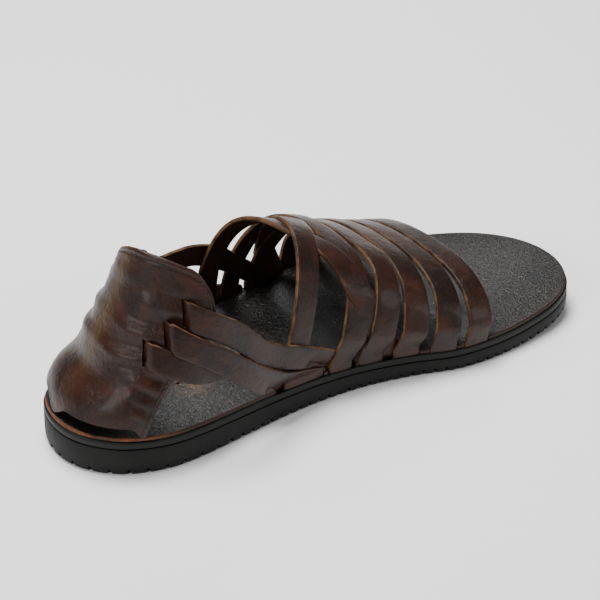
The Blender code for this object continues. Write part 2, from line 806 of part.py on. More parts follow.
def counter_column_height(turn, side):
    """Lowest and highest height of the counter, turn 0 at the back and 1 at its front edge."""
    rear_seat = smooth(turn / 0.22)
    front_seat = smooth((1.0 - turn) / 0.16)
    float_height = COUNTER_LIFT * rear_seat * front_seat
    low = SEAT_GAP + float_height
    high = COUNTER_HEIGHT * column(RIM, "inner" if side < 0 else "outer", turn, key="turn")
    corner = clamp((turn - 0.86) / 0.14)
    high -= CORNER_RADIUS * (1.0 - math.sqrt(1.0 - corner ** 2 * 0.96))
    return low, high


def counter_place(turn, share, side):
    """A point of the last under the counter: share 0 at the lower edge, 1 at the rim."""
    low, high = counter_column_height(turn, side)
    foot_x = x_of(COUNTER_FRONT[0]["along"]) * turn + heel_rear(HEEL_STACK) * (1.0 - turn)
    z = insole_top(foot_x - COUNTER_OUTSIDE) + low
    z = z + (high - z) * share
    rear = heel_rear(z)
    length = HEEL_ROUND * SOLE_LENGTH
    front = x_of(column(COUNTER_FRONT, "along", z / COUNTER_HEIGHT, key="height"))
    quarter = 0.5 * math.pi * math.sqrt(0.5 * (length ** 2 + heel_half(z) ** 2))
    if front > rear + length:
        whole = quarter + front - rear - length
    else:
        whole = quarter * math.acos(clamp((rear + length - front) / length)) * 2.0 / math.pi
    travel = turn * whole
    if travel <= quarter:
        guess = heel_guess(travel / quarter, z, side)
    else:
        guess = side_place(along_of(rear + length + travel - quarter), z, side)
    return guess


def counter_grid(lift):
    """Rows of points from the inner front edge round the heel to the outer front edge."""
    rows = []
    for j in range(COUNTER_ROWS + 1):
        share = j / COUNTER_ROWS
        row = []
        for i in range(-COUNTER_COLUMNS, COUNTER_COLUMNS + 1):
            side = -1 if i < 0 else 1
            place, _ = on_last(counter_place(abs(i) / COUNTER_COLUMNS, share, side), lift)
            row.append(place)
        rows.append(row)
    return rows


def make_counter(material):
    inside = counter_grid(COUNTER_INSIDE)
    outside = counter_grid(COUNTER_OUTSIDE)
    vertices = [p for row in inside for p in row] + [p for row in outside for p in row]
    width = 2 * COUNTER_COLUMNS + 1
    skin = len(inside) * width
    faces = []
    for j in range(COUNTER_ROWS):
        for i in range(width - 1):
            a, b = j * width + i, j * width + i + 1
            c, d = (j + 1) * width + i + 1, (j + 1) * width + i
            faces.append((a, b, c, d))
            faces.append((skin + d, skin + c, skin + b, skin + a))
    rim = COUNTER_ROWS * width
    for i in range(width - 1):
        faces.append((i + 1, i, skin + i, skin + i + 1))
        faces.append((rim + i, rim + i + 1, skin + rim + i + 1, skin + rim + i))
    for j in range(COUNTER_ROWS):
        a, b = j * width, (j + 1) * width
        faces.append((a, b, skin + b, skin + a))
        faces.append((b + width - 1, a + width - 1, skin + a + width - 1, skin + b + width - 1))
    counter = add_object("heel_counter", vertices, faces, material)
    for row in HEEL_STRAPS:
        for side in (-1, 1):
            combine(counter, slit_tool(row, side), "DIFFERENCE")
    finish(counter)
    return counter


def slit_tool(row, side):
    """Cutter of a slit: upright ends, long sides along the strap, with the gap all round."""
    slit = row["slit"]
    after = row["marks"][0]
    middle = (COUNTER_INSIDE + COUNTER_OUTSIDE) / 2.0
    here, outward = on_last(side_place(slit["along"], strap_height(slit, side), side), middle)
    ahead, _ = on_last(side_place(after["along"], strap_height(after, side), side), middle)
    forward = (ahead - here).normalized()
    level = math.hypot(forward.x, forward.y)
    up = Vector((0.0, 0.0, 1.0))
    upright = (up - outward * up.dot(outward)).normalized()
    half_height = HEEL_STRAP_WIDTH / 2.0 / level + SLIT_MARGIN
    reach = SLIT_RUN / 2.0 / level + 2.0 * GAP
    return block("slit_tool", here, forward * reach, upright * half_height, outward * SLIT_REACH)


def strap_ends():
    """Every strap end in the sole: place, side, inset and width."""
    ends = []
    for row in CROSS_STRAPS:
        ends.append((row["inner"], -1, row["ends"][0], STRAP_WIDTH))
        ends.append((row["outer"], 1, row["ends"][1], STRAP_WIDTH))
    for row in HEEL_STRAPS:
        if row["foot"]:
            foot = row["foot"]
            for side in (-1, 1):
                ends.append((foot["along"], side, foot["inset"], foot["width"]))
    return ends


def cut_strap_seats(midsole, insole):
    """Pockets in the midsole's top for the strap ends, and notches in the insole's edge above them."""
    for along, side, inset, width in strap_ends():
        here, outward, forward = edge_point(along, side)
        half = forward * (width / 2.0 + GAP)
        top = stack_top(here.x)
        pocket = STRAP_THICKNESS + 2.0 * SEAT_GAP
        inner_reach = inset + TONGUE_LENGTH + GAP
        centre = here + outward * ((POCKET_REACH - inner_reach) / 2.0) + Vector((0.0, 0.0, top))
        depth = outward * ((POCKET_REACH + inner_reach) / 2.0)
        combine(midsole, block("pocket_tool", centre, half, depth, Vector((0.0, 0.0, pocket))), "DIFFERENCE")
        inner_reach = inset + STRAP_THICKNESS / 2.0 + GAP
        centre = here + outward * ((POCKET_REACH - inner_reach) / 2.0) + Vector((0.0, 0.0, top))
        depth = outward * ((POCKET_REACH + inner_reach) / 2.0)
        tall = Vector((0.0, 0.0, INSOLE_THICKNESS * 3.0))
        combine(insole, block("notch_tool", centre, half, depth, tall), "DIFFERENCE")


def clear_scene():
    for thing in list(bpy.data.objects):
        bpy.data.objects.remove(thing, do_unlink=True)


def main():
    clear_scene()
    rubber = leather_or_rubber("black_rubber", (0.012, 0.012, 0.012), 0.55)
    crepe = leather_or_rubber("black_midsole_rubber", (0.015, 0.015, 0.015), 0.6)
    insole_leather = leather_or_rubber("insole_leather", (0.030, 0.016, 0.011), 0.35)
    upper_leather = leather_or_rubber("dark_brown_leather", (0.040, 0.016, 0.009), 0.4)
    make_outsole(rubber)
    midsole = sole_layer("midsole", [(MIDSOLE_INSET, midsole_bottom), (MIDSOLE_INSET, stack_top)], crepe)
    insole = sole_layer("insole", [(INSOLE_INSET, insole_bottom), (INSOLE_INSET, insole_top)], insole_leather)
    cut_strap_seats(midsole, insole)
    finish(midsole)
    finish(insole)
    make_counter(upper_leather)
    make_straps(upper_leather)


main()
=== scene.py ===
"""Looks of the woven leather sandal: leather, raw edges, stitching, creases and a grooved rubber sole.

Frame: metres, origin on the floor under the middle of the heel, +X towards the toe, +Y towards the
outer side of the left foot, +Z up. The foot form, straps and counter follow the same sizes as the
part's own source, drawn finer here.
"""
import math

import bmesh
import bpy
import numpy as np
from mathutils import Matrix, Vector


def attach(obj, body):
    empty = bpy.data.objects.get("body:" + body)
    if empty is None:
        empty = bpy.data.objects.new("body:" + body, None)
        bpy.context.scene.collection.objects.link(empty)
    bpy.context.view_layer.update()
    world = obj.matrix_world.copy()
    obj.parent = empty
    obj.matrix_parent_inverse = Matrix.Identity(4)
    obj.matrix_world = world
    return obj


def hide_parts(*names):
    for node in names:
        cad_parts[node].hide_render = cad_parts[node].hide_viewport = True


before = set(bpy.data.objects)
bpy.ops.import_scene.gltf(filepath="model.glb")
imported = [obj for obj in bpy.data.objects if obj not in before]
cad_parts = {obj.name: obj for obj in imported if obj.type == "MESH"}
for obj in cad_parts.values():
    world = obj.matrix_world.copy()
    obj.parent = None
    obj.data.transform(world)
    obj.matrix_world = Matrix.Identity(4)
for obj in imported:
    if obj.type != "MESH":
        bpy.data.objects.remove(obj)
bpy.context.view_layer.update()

MM = 0.001

# Sizes of the shoe
SOLE_LENGTH = 0.288
HEEL_WIDTH = 0.080
WAIST_WIDTH = 0.0875
BALL_WIDTH = 0.1095
TOE_WIDTH = 0.092
HEEL_REST = 0.040
HEEL_STACK = 0.0192
BALL_STACK = 0.0122
TOE_SPRING = 0.0055
MIDSOLE_THICKNESS = 0.0040
INSOLE_THICKNESS = 0.0018
INSOLE_INSET = 0.0010
MIDSOLE_INSET = 0.0002
STRAP_WIDTH = 0.0130
HEEL_STRAP_WIDTH = 0.0125
STRAP_THICKNESS = 0.0022
COUNTER_THICKNESS = 0.0020
GAP = 0.0004
SEAT_GAP = 0.0003
CURVED_GAP = 0.0006
SLIT_MARGIN = -0.0005
SLIT_REACH = 0.0060
SLIT_HALF = 0.0015
COUNTER_HEIGHT = 0.104
OUTER_DROP = 0.075
OUTER_TUCK = 0.0060
INSTEP_HEIGHT = 0.056
LAST_BULGE = -0.0013
LAST_POWER = 2.3
TONGUE_LENGTH = 0.0080
BEND_RADIUS = 0.0018
FOOT_RISE = 0.0045
NARROW_FOOT = 0.0150
WIDE_FOOT = 0.0230
POCKET_REACH = 0.0040
MIDSOLE_LIP = 0.00060
HEEL_ROUND = 0.135
BLEND_FROM = 0.17
BLEND_TO = 0.34
TUCK_FROM = 0.20
TUCK_TO = 0.42
DROP_FROM = 0.15
DROP_TO = 0.70
EDGE_STEP = 0.004
PROBE_STEP = 0.0004


def name_columns(names, rows):
    """A table as a list of rows whose values are read by the names of their columns."""
    return [dict(zip(names.split(), row)) for row in rows]


# Sole outline, heel to toe: share of the length, the width it follows, inner and outer edge
OUTLINE = name_columns("along width medial lateral", [
    (0.000, HEEL_WIDTH, 0.00, 0.00),
    (0.010, HEEL_WIDTH, 0.18, 0.19),
    (0.042, HEEL_WIDTH, 0.34, 0.32),
    (0.083, HEEL_WIDTH, 0.44, 0.41),
    (0.146, HEEL_WIDTH, 0.50, 0.475),
    (0.208, HEEL_WIDTH, 0.49, 0.525),
    (0.292, WAIST_WIDTH, 0.40, 0.525),
    (0.375, WAIST_WIDTH, 0.353, 0.60),
    (0.458, WAIST_WIDTH, 0.325, 0.685),
    (0.542, BALL_WIDTH, 0.263, 0.613),
    (0.625, BALL_WIDTH, 0.296, 0.656),
    (0.708, BALL_WIDTH, 0.350, 0.653),
    (0.792, BALL_WIDTH, 0.350, 0.612),
    (0.875, TOE_WIDTH, 0.375, 0.62),
    (0.930, TOE_WIDTH, 0.320, 0.50),
    (0.978, TOE_WIDTH, 0.200, 0.305),
    (1.000, TOE_WIDTH, -0.03, 0.03),
])

# Heel of the foot form: height share, rearmost place as a share of the length, half breadth
HEEL_FORM = name_columns("height rear half", [
    (0.12, 0.021, 0.430),
    (0.22, 0.024, 0.438),
    (0.30, 0.036, 0.432),
    (0.40, 0.066, 0.415),
    (0.52, 0.091, 0.388),
    (0.68, 0.120, 0.352),
    (0.84, 0.142, 0.318),
    (1.00, 0.156, 0.292),
])

# Crown of the foot form: place, height above the insole, place across from inner to outer edge
CROWN = name_columns("along height across", [
    (0.20, 2.55, 0.48),
    (0.28, 2.05, 0.47),
    (0.36, 1.45, 0.45),
    (0.43, 1.12, 0.43),
    (0.50, 0.95, 0.42),
    (0.57, 0.80, 0.41),
    (0.64, 0.66, 0.41),
    (0.71, 0.54, 0.42),
    (0.78, 0.45, 0.43),
    (0.90, 0.36, 0.44),
])


def clamp(value, low=0.0, high=1.0):
    return max(low, min(high, value))


def smooth(value):
    value = clamp(value)
    return value * value * (3.0 - 2.0 * value)


def curve_through(knots, values, at):
    """Reads a smooth curve through the knots, flat beyond its ends."""
    if at <= knots[0]:
        return values[0]
    if at >= knots[-1]:
        return values[-1]
    index = max(i for i in range(len(knots) - 1) if knots[i] <= at)

    def slope(i):
        low, high = max(i - 1, 0), min(i + 1, len(knots) - 1)
        return (values[high] - values[low]) / (knots[high] - knots[low])

    span = knots[index + 1] - knots[index]
    t = (at - knots[index]) / span
    start, end = slope(index) * span, slope(index + 1) * span
    return ((2 * t ** 3 - 3 * t ** 2 + 1) * values[index] + (t ** 3 - 2 * t ** 2 + t) * start
            + (3 * t ** 2 - 2 * t ** 3) * values[index + 1] + (t ** 3 - t ** 2) * end)


def column(table, name, at, key="along"):
    return curve_through([row[key] for row in table], [row[name] for row in table], at)


def edge_distance(along, side):
    """Distance of the sole's edge from the centre line, side -1 inner, 1 outer."""
    name = "medial" if side < 0 else "lateral"
    sizes = [row[name] * row["width"] for row in OUTLINE]
    if along < 0.15:
        spread = [math.sqrt(row["along"]) for row in OUTLINE]
        return curve_through(spread, sizes, math.sqrt(max(along, 0.0)))
    if along > 0.85:
        back = [math.sqrt(1.0 - row["along"]) for row in reversed(OUTLINE)]
        return curve_through(back, list(reversed(sizes)), math.sqrt(max(1.0 - along, 0.0)))
    return curve_through([row["along"] for row in OUTLINE], sizes, along)


def along_of(x):
    return clamp((x + HEEL_REST) / SOLE_LENGTH)


def x_of(along):
    return along * SOLE_LENGTH - HEEL_REST


def floor_rise(x):
    return TOE_SPRING * clamp((along_of(x) - 0.78) / 0.22) ** 1.8


def stack_top(x):
    share = clamp(along_of(x) / 0.66)
    return floor_rise(x) + HEEL_STACK + (BALL_STACK - HEEL_STACK) * share


def midsole_bottom(x):
    return stack_top(x) - MIDSOLE_THICKNESS


def outsole_top(x):
    return midsole_bottom(x) - SEAT_GAP


def insole_bottom(x):
    return stack_top(x) + SEAT_GAP


def insole_top(x):
    return insole_bottom(x) + INSOLE_THICKNESS


def edge_point(along, side):
    """Point of the sole's edge, its outward direction and its direction towards the toe."""
    here = Vector((x_of(along), side * edge_distance(along, side), 0.0))
    before = Vector((x_of(along - EDGE_STEP), side * edge_distance(along - EDGE_STEP, side), 0.0))
    after = Vector((x_of(along + EDGE_STEP), side * edge_distance(along + EDGE_STEP, side), 0.0))
    forward = (after - before).normalized()
    outward = Vector((-forward.y, forward.x, 0.0)) * side
    return here, outward, forward


def heel_half(z):
    return HEEL_WIDTH * column(HEEL_FORM, "half", z / COUNTER_HEIGHT, key="height")


def heel_rear(z):
    return x_of(column(HEEL_FORM, "rear", z / COUNTER_HEIGHT, key="height"))


def crown_height(x):
    return INSTEP_HEIGHT * column(CROWN, "height", along_of(x))


def middle_line(x):
    inner = -edge_distance(along_of(x), -1)
    outer = edge_distance(along_of(x), 1)
    share = smooth((along_of(x) - BLEND_FROM) / (BLEND_TO - BLEND_FROM))
    return share * (inner + (outer - inner) * column(CROWN, "across", along_of(x)))


def breadth(x, z, side):
    share = smooth((along_of(x) - BLEND_FROM) / (BLEND_TO - BLEND_FROM))
    foot = edge_distance(along_of(x), side) + LAST_BULGE - side * middle_line(x)
    heel = heel_half(z)
    if side > 0:
        heel -= OUTER_TUCK * smooth((z / COUNTER_HEIGHT - TUCK_FROM) / (TUCK_TO - TUCK_FROM))
    return (1.0 - share) * heel + share * foot


def last_level(point):
    """One on the surface of the foot form, less inside it and more outside."""
    x, y, z = point
    base = insole_top(x)
    across = abs(y - middle_line(x)) / breadth(x, z, -1 if y < middle_line(x) else 1)
    upward = max(0.0, z - base) / crown_height(x)
    heel_length = HEEL_ROUND * SOLE_LENGTH
    rearward = max(0.0, heel_rear(z) + heel_length - x) / heel_length
    total = across ** LAST_POWER + upward ** LAST_POWER + rearward ** LAST_POWER
    return total ** (1.0 / LAST_POWER)


def last_gradient(point):
    slopes = []
    for axis in range(3):
        shift = Vector((0.0, 0.0, 0.0))
        shift[axis] = PROBE_STEP
        slopes.append((last_level(point + shift) - last_level(point - shift)) / (2.0 * PROBE_STEP))
    return Vector(slopes)


def on_last(point, lift=0.0):
    """Moves a point onto the form, then off it by lift. Returns the place and the outward direction."""
    place = Vector(point)
    for _ in range(6):
        gradient = last_gradient(place)
        place = place - gradient * ((last_level(place) - 1.0) / gradient.length_squared)
    outward = last_gradient(place).normalized()
    return place + outward * lift, outward


def heel_guess(turn, z, side):
    angle = turn * math.pi / 2.0
    length = HEEL_ROUND * SOLE_LENGTH
    return Vector((heel_rear(z) + length * (1.0 - math.cos(angle)), side * heel_half(z) * math.sin(angle), z))


def side_place(along, z, side):
    x = x_of(along)
    low, high = 0.0, breadth(x, z, side) * 1.1
    for _ in range(20):
        middle = 0.5 * (low + high)
        if last_level((x, middle_line(x) + side * middle, z)) < 1.0:
            low = middle
        else:
            high = middle
    return Vector((x, middle_line(x) + side * 0.5 * (low + high), z))


def arch_guess(along, turn):
    x = x_of(along)
    side = -1 if turn < 0.5 else 1
    angle = turn * math.pi
    y = middle_line(x) - breadth(x, insole_top(x), side) * math.cos(angle)
    return Vector((x, y, insole_top(x) + crown_height(x) * math.sin(angle)))


# Finer curves from coarse rows
def smooth_rows(knots, rows, at):
    """Reads smooth curves through rows of numbers, all columns at once."""
    knots = np.asarray(knots, float)
    rows = np.asarray(rows, float)
    at = np.clip(np.asarray(at, float), knots[0], knots[-1])
    index = np.clip(np.searchsorted(knots, at, side="right") - 1, 0, len(knots) - 2)
    order = np.arange(len(knots))
    low = np.maximum(order - 1, 0)
    high = np.minimum(order + 1, len(knots) - 1)
    shape = (-1,) + (1,) * (rows.ndim - 1)
    slopes = (rows[high] - rows[low]) / (knots[high] - knots[low]).reshape(shape)
    span = knots[index + 1] - knots[index]
    t = ((at - knots[index]) / span).reshape(shape)
    span = span.reshape(shape)
    return ((2 * t ** 3 - 3 * t ** 2 + 1) * rows[index] + (t ** 3 - 2 * t ** 2 + t) * slopes[index] * span
            + (3 * t ** 2 - 2 * t ** 3) * rows[index + 1] + (t ** 3 - t ** 2) * slopes[index + 1] * span)


def unit(rows):
    """Rows of vectors, each at length one."""
    return rows / np.maximum(np.linalg.norm(rows, axis=-1, keepdims=True), 1e-12)


# Materials
NOISE, RANGE, MATH, BLEND = "ShaderNodeTexNoise", "ShaderNodeMapRange", "ShaderNodeMath", "ShaderNodeMix"
MIX_A, MIX_B, MIXED = 6, 7, 2

# Where the insole's dye has worn: place, radius, soft rim, tint and strength. By the arch the dye has
# gone red, and by the two slots in the heel the tan of the hide shows
INSOLE_SPOTS = [
    ((0.084, -0.026, 0.017), 0.030, 0.024, "#45190a", 0.85),
    ((0.0300, -0.0080, 0.0192), 0.0110, 0.009, "#5c3f24", 0.70),
]


def paint(code):
    """An sRGB hex colour as linear values for a shader."""
    levels = [int(code[i:i + 2], 16) / 255.0 for i in (1, 3, 5)]
    return tuple(c / 12.92 if c <= 0.04045 else ((c + 0.055) / 1.055) ** 2.4 for c in levels) + (1.0,)


def add_node(tree, kind, inputs, output=0, **settings):
    """Adds one node with its settings and inputs, linking those given as sockets. Returns an output."""
    node = tree.nodes.new(kind)
    for name, value in settings.items():
        setattr(node, name, value)
    for key, value in inputs.items():
        if isinstance(value, bpy.types.NodeSocket):
            tree.links.new(value, node.inputs[key])
        else:
            node.inputs[key].default_value = value
    return node.outputs[output]


def start_material(name, *patterns):
    """A new material and its patterns: the size of each pattern's features in mm, detail and roughness."""
    material = bpy.data.materials.new(name)
    material.use_nodes = True
    tree = material.node_tree
    place = add_node(tree, "ShaderNodeTexCoord", {}, "Object")
    fields = [add_node(tree, NOISE, {"Vector": place, "Scale": 1.0 / (size * MM), "Detail": detail,
                                     "Roughness": roughness, "Distortion": twist})
              for size, detail, roughness, twist in patterns]
    return material, tree, place, fields


def finish_material(tree, tints, roughness, reliefs, **fixed):
    """Lays the tints over one another and links them, the roughness and the reliefs to the shader.

    A tint is a share, where it lies, and a colour. The first is the ground. A relief is a height, its
    depth in mm and its strength."""
    shader = tree.nodes["Principled BSDF"]
    for name, value in fixed.items():
        shader.inputs[name.replace("_", " ")].default_value = value
    colour = paint(tints[0][1])
    for share, code in tints[1:]:
        colour = add_node(tree, BLEND, {"Factor": share, MIX_A: colour, MIX_B: paint(code)}, MIXED,
                          data_type="RGBA")
    tree.links.new(colour, shader.inputs["Base Color"])
    if isinstance(roughness, bpy.types.NodeSocket):
        tree.links.new(roughness, shader.inputs["Roughness"])
    else:
        shader.inputs["Roughness"].default_value = roughness
    below = {}
    for height, depth, strength in reliefs:
        inputs = {"Height": height, "Distance": depth * MM, "Strength": strength, **below}
        below = {"Normal": add_node(tree, "ShaderNodeBump", inputs, "Normal")}
    if below:
        tree.links.new(below["Normal"], shader.inputs["Normal"])


def make_upper_leather():
    """Waxed pull-up cowhide, drum dyed dark brown and hand rubbed: it goes lighter and redder where it
    is rubbed, and the wax gives it a soft wet gloss over a fine pore grain. A lighter olive band down
    the counter's rear ridge is painted sheen, in place of a softbox reflection."""
    material, tree, place, (clouds, rubbed, wrinkles, creases) = start_material(
        "waxed_pull_up_leather",
        (30, 4, 0.6, 0.0), (11, 5, 0.65, 0.0), (4.2, 4, 0.6, 0.6), (1.7, 3, 0.6, 0.0))
    pores = add_node(tree, "ShaderNodeTexVoronoi", {"Vector": place, "Scale": 1.0 / (0.8 * MM)}, "Distance",
                     feature="DISTANCE_TO_EDGE")
    pores = add_node(tree, RANGE, {"Value": pores, "From Max": 0.25})
    darker = add_node(tree, RANGE, {"Value": clouds, "From Min": 0.38, "From Max": 0.62})
    redder = add_node(tree, RANGE, {"Value": rubbed, "From Min": 0.52, "From Max": 0.80, "To Max": 0.75})
    # Painted sheen: a lighter olive band down the counter's rear ridge, standing in for a softbox reflection
    rear_sheen_band = add_node(tree, "ShaderNodeAttribute", {}, "Fac", attribute_name="painted_rear_sheen")
    gloss = add_node(tree, RANGE, {"Value": rubbed, "From Min": 0.3, "From Max": 0.75,
                                   "To Min": 0.28, "To Max": 0.46})
    finish_material(tree, [(None, "#180b06"), (darker, "#2c150b"), (redder, "#471d0d"), (rear_sheen_band, "#4a3619")],
                    gloss, [(wrinkles, 0.60, 0.85), (creases, 0.20, 0.8), (pores, 0.06, 0.8)],
                    Specular_IOR_Level=0.24, Coat_Weight=0.08, Coat_Roughness=0.16)
    return material


def make_raw_edge():
    """Cut edge of vegetable tanned leather, left raw: dry tan fibres, darker where dye ran in."""
    material, tree, _, (fibres, dye) = start_material(
        "raw_cut_leather_edge", (1.2, 4, 0.7, 0.0), (9, 4, 0.6, 0.0))
    dyed = add_node(tree, RANGE, {"Value": dye, "From Min": 0.40, "From Max": 0.60, "To Max": 0.85})
    finish_material(tree, [(None, "#2c1a0e"), (fibres, "#7a593b"), (dyed, "#1a0d07")], 0.85,
                    [(fibres, 0.2, 0.6)], Specular_IOR_Level=0.2)
    return material


def make_flesh_side():
    """Flesh side of the strap leather: a short brown nap, rubbed smooth in places."""
    material, tree, _, (nap, clouds) = start_material(
        "strap_flesh_side", (0.9, 4, 0.7, 0.0), (16, 3, 0.5, 0.0))
    finish_material(tree, [(None, "#140b07"), (clouds, "#3a2314")], 0.75, [(nap, 0.15, 0.5)],
                    Specular_IOR_Level=0.2)
    return material


def make_insole_leather():
    """Embossed and glazed insole leather: near black brown, coarse shrunken grain, polished by the foot."""
    material, tree, place, (grain, fine, clouds, patches) = start_material(
        "glazed_insole_leather",
        (2.4, 5, 0.62, 1.2), (0.8, 3, 0.6, 0.0), (24, 4, 0.6, 0.0), (6, 4, 0.65, 0.0))
    lighter = add_node(tree, RANGE, {"Value": clouds, "From Min": 0.38, "From Max": 0.66})
    broken = add_node(tree, RANGE, {"Value": patches, "From Min": 0.36, "From Max": 0.6})
    tints = [(None, "#0b0807"), (lighter, "#17110d")]
    for spot, radius, soft, tint, strength in INSOLE_SPOTS:
        away = add_node(tree, "ShaderNodeVectorMath", {0: place, 1: spot}, "Value", operation="DISTANCE")
        near = add_node(tree, RANGE, {"Value": away, "From Min": radius, "From Max": radius - soft,
                                      "To Max": strength})
        tints.append((add_node(tree, MATH, {0: near, 1: broken}, operation="MULTIPLY"), tint))
    gloss = add_node(tree, RANGE, {"Value": grain, "From Min": 0.3, "From Max": 0.7,
                                   "To Min": 0.26, "To Max": 0.46})
    finish_material(tree, tints, gloss, [(grain, 0.70, 0.95), (fine, 0.14, 0.6)],
                    Specular_IOR_Level=0.34, Coat_Weight=0.10, Coat_Roughness=0.25)
    return material


def make_insole_edge():
    """Cut edge of the insole board: burnished orange tan round the heel, dyed dark along the foot."""
    material, tree, place, (fibres, dye) = start_material(
        "burnished_insole_edge", (1.6, 4, 0.7, 0.0), (14, 3, 0.6, 0.0))
    forward = add_node(tree, "ShaderNodeSeparateXYZ", {"Vector": place}, "X")
    dyed = add_node(tree, RANGE, {"Value": dye, "From Min": 0.45, "From Max": 0.65})
    past_heel = add_node(tree, RANGE, {"Value": forward, "From Min": -0.014, "From Max": 0.012})
    dark = add_node(tree, MATH, {0: dyed, 1: past_heel}, operation="MAXIMUM")
    dark = add_node(tree, MATH, {0: dark, 1: 0.9}, operation="MULTIPLY")
    finish_material(tree, [(None, "#3f1c0b"), (fibres, "#7d4a22"), (dark, "#120906")], 0.6,
                    [(fibres, 0.15, 0.5)], Specular_IOR_Level=0.3)
    return material


def make_rubber(name, dark, light, smoothest):
    """Compression moulded black rubber: matte with a faint sheen, fine mould texture, pale dust specks."""
    material, tree, _, (clouds, specks, mould, grit) = start_material(
        name, (18, 4, 0.6, 0.0), (1.1, 2, 0.5, 0.0), (3.2, 3, 0.6, 0.0), (0.6, 3, 0.6, 0.0))
    lighter = add_node(tree, RANGE, {"Value": clouds, "From Min": 0.35, "From Max": 0.65})
    dust = add_node(tree, RANGE, {"Value": specks, "From Min": 0.68, "From Max": 0.80, "To Max": 0.5})
    gloss = add_node(tree, RANGE, {"Value": clouds, "From Min": 0.3, "From Max": 0.7,
                                   "To Min": smoothest, "To Max": smoothest + 0.12})
    finish_material(tree, [(None, dark), (lighter, light), (dust, "#4a4844")], gloss,
                    [(mould, 0.12, 0.35), (grit, 0.04, 0.45)], Specular_IOR_Level=0.18)
    return material


def make_thread():
    """Waxed polyester thread, dark brown, twisted."""
    material, tree, place, _ = start_material("waxed_brown_thread")
    twist = add_node(tree, "ShaderNodeTexWave", {"Vector": place, "Scale": 1.0 / (3.0 * MM)})
    finish_material(tree, [(None, "#0d0705"), (twist, "#22140d")], 0.5, [])
    return material


def make_board():
    """Matte white studio board."""
    material, tree, _, (tone,) = start_material("white_studio_board", (220, 2, 0.5, 0.0))
    finish_material(tree, [(None, "#f6f6f5"), (tone, "#fafafa")], 0.85, [])
    return material


UPPER = make_upper_leather()
RAW_EDGE = make_raw_edge()
FLESH = make_flesh_side()
INSOLE = make_insole_leather()
INSOLE_EDGE = make_insole_edge()
OUTSOLE_RUBBER = make_rubber("moulded_sole_rubber", "#0c0c0b", "#161615", 0.50)
MIDSOLE_RUBBER = make_rubber("midsole_rubber_sheet", "#0e0e0d", "#181817", 0.48)
THREAD = make_thread()
BOARD = make_board()


# Mesh helpers
def add_mesh(name, vertices, faces, materials, face_materials=None, sharp=50.0):
    mesh = bpy.data.meshes.new(name)
    mesh.from_pydata([tuple(map(float, v)) for v in vertices], [], faces)
    for material in materials:
        mesh.materials.append(material)
    if face_materials is not None:
        mesh.polygons.foreach_set("material_index", np.asarray(face_materials, np.int32))
    shape = bmesh.new()
    shape.from_mesh(mesh)
    bmesh.ops.recalc_face_normals(shape, faces=shape.faces)
    shape.to_mesh(mesh)
    shape.free()
    thing = bpy.data.objects.new(name, mesh)
    bpy.context.scene.collection.objects.link(thing)
    shade(thing, sharp)
    return thing


def shade(thing, sharp=50.0):
    """Smooth shading, with edges sharper than an angle in degrees kept."""
    thing.data.shade_smooth()
    thing.data.set_sharp_from_angle(angle=math.radians(sharp))


def paint_points(thing, name, values):
    """Stores a value at each point of a mesh for its material to read."""
    attribute = thing.data.attributes.new(name, "FLOAT", "POINT")
    attribute.data.foreach_set("value", np.asarray(values, np.float32))


def dress(thing, slot, *nodes):
    """The piece rides on the shoe and stands for the nodes named. The slot is not used."""
    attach(thing, "root")
    if nodes:
        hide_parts(*nodes)
    return thing


def cut(thing, tool):
    """Cuts the tool out of the thing, and its walls keep the tool's material."""
    step = thing.modifiers.new("cut", "BOOLEAN")
    step.operation = "DIFFERENCE"
    step.solver = "EXACT"
    step.material_mode = "TRANSFER"
    step.object = tool
    depsgraph = bpy.context.evaluated_depsgraph_get()
    mesh = bpy.data.meshes.new_from_object(thing.evaluated_get(depsgraph))
    thing.modifiers.remove(step)
    old = thing.data
    thing.data = mesh
    bpy.data.meshes.remove(old)
    bpy.data.objects.remove(tool, do_unlink=True)


def block(centre, half_a, half_b, half_c, material):
    """A block cutter given by its middle and three half edges."""
    corners = []
    for a in (-1, 1):
        for b in (-1, 1):
            for c in (-1, 1):
                corners.append(centre + half_a * a + half_b * b + half_c * c)
    faces = [(0, 1, 3, 2), (4, 6, 7, 5), (0, 4, 5, 1), (2, 3, 7, 6), (0, 2, 6, 4), (1, 5, 7, 3)]
    return add_mesh("cutter", corners, faces, [material])


# Sole
def edge_stations(count):
    """Shares of the length, close together at heel and toe."""
    return [0.5 - 0.5 * math.cos(math.pi * i / count) for i in range(count + 1)]


class SoleEdge:
    """Edge points and outward directions of the sole at matching places along both sides."""

    def __init__(self, count):
        self.shares = edge_stations(count)
        self.sides = {}
        for side in (-1, 1):
            rows = [edge_point(share, side) for share in self.shares[1:-1]]
            self.sides[side] = (np.array([r[0] for r in rows]), np.array([r[1] for r in rows]))
        self.toe_y = edge_distance(1.0, 1)

    def ring(self, inset):
        """Heel tip, inner side, toe tip, outer side back to the heel, moved in from the edge."""
        inner = self.sides[-1][0] - self.sides[-1][1] * inset
        outer = self.sides[1][0] - self.sides[1][1] * inset
        heel = np.array([[x_of(0.0) + inset, 0.0, 0.0]])
        toe = np.array([[x_of(1.0) - inset, self.toe_y, 0.0]])
        return np.concatenate([heel, inner, toe, outer[::-1]])


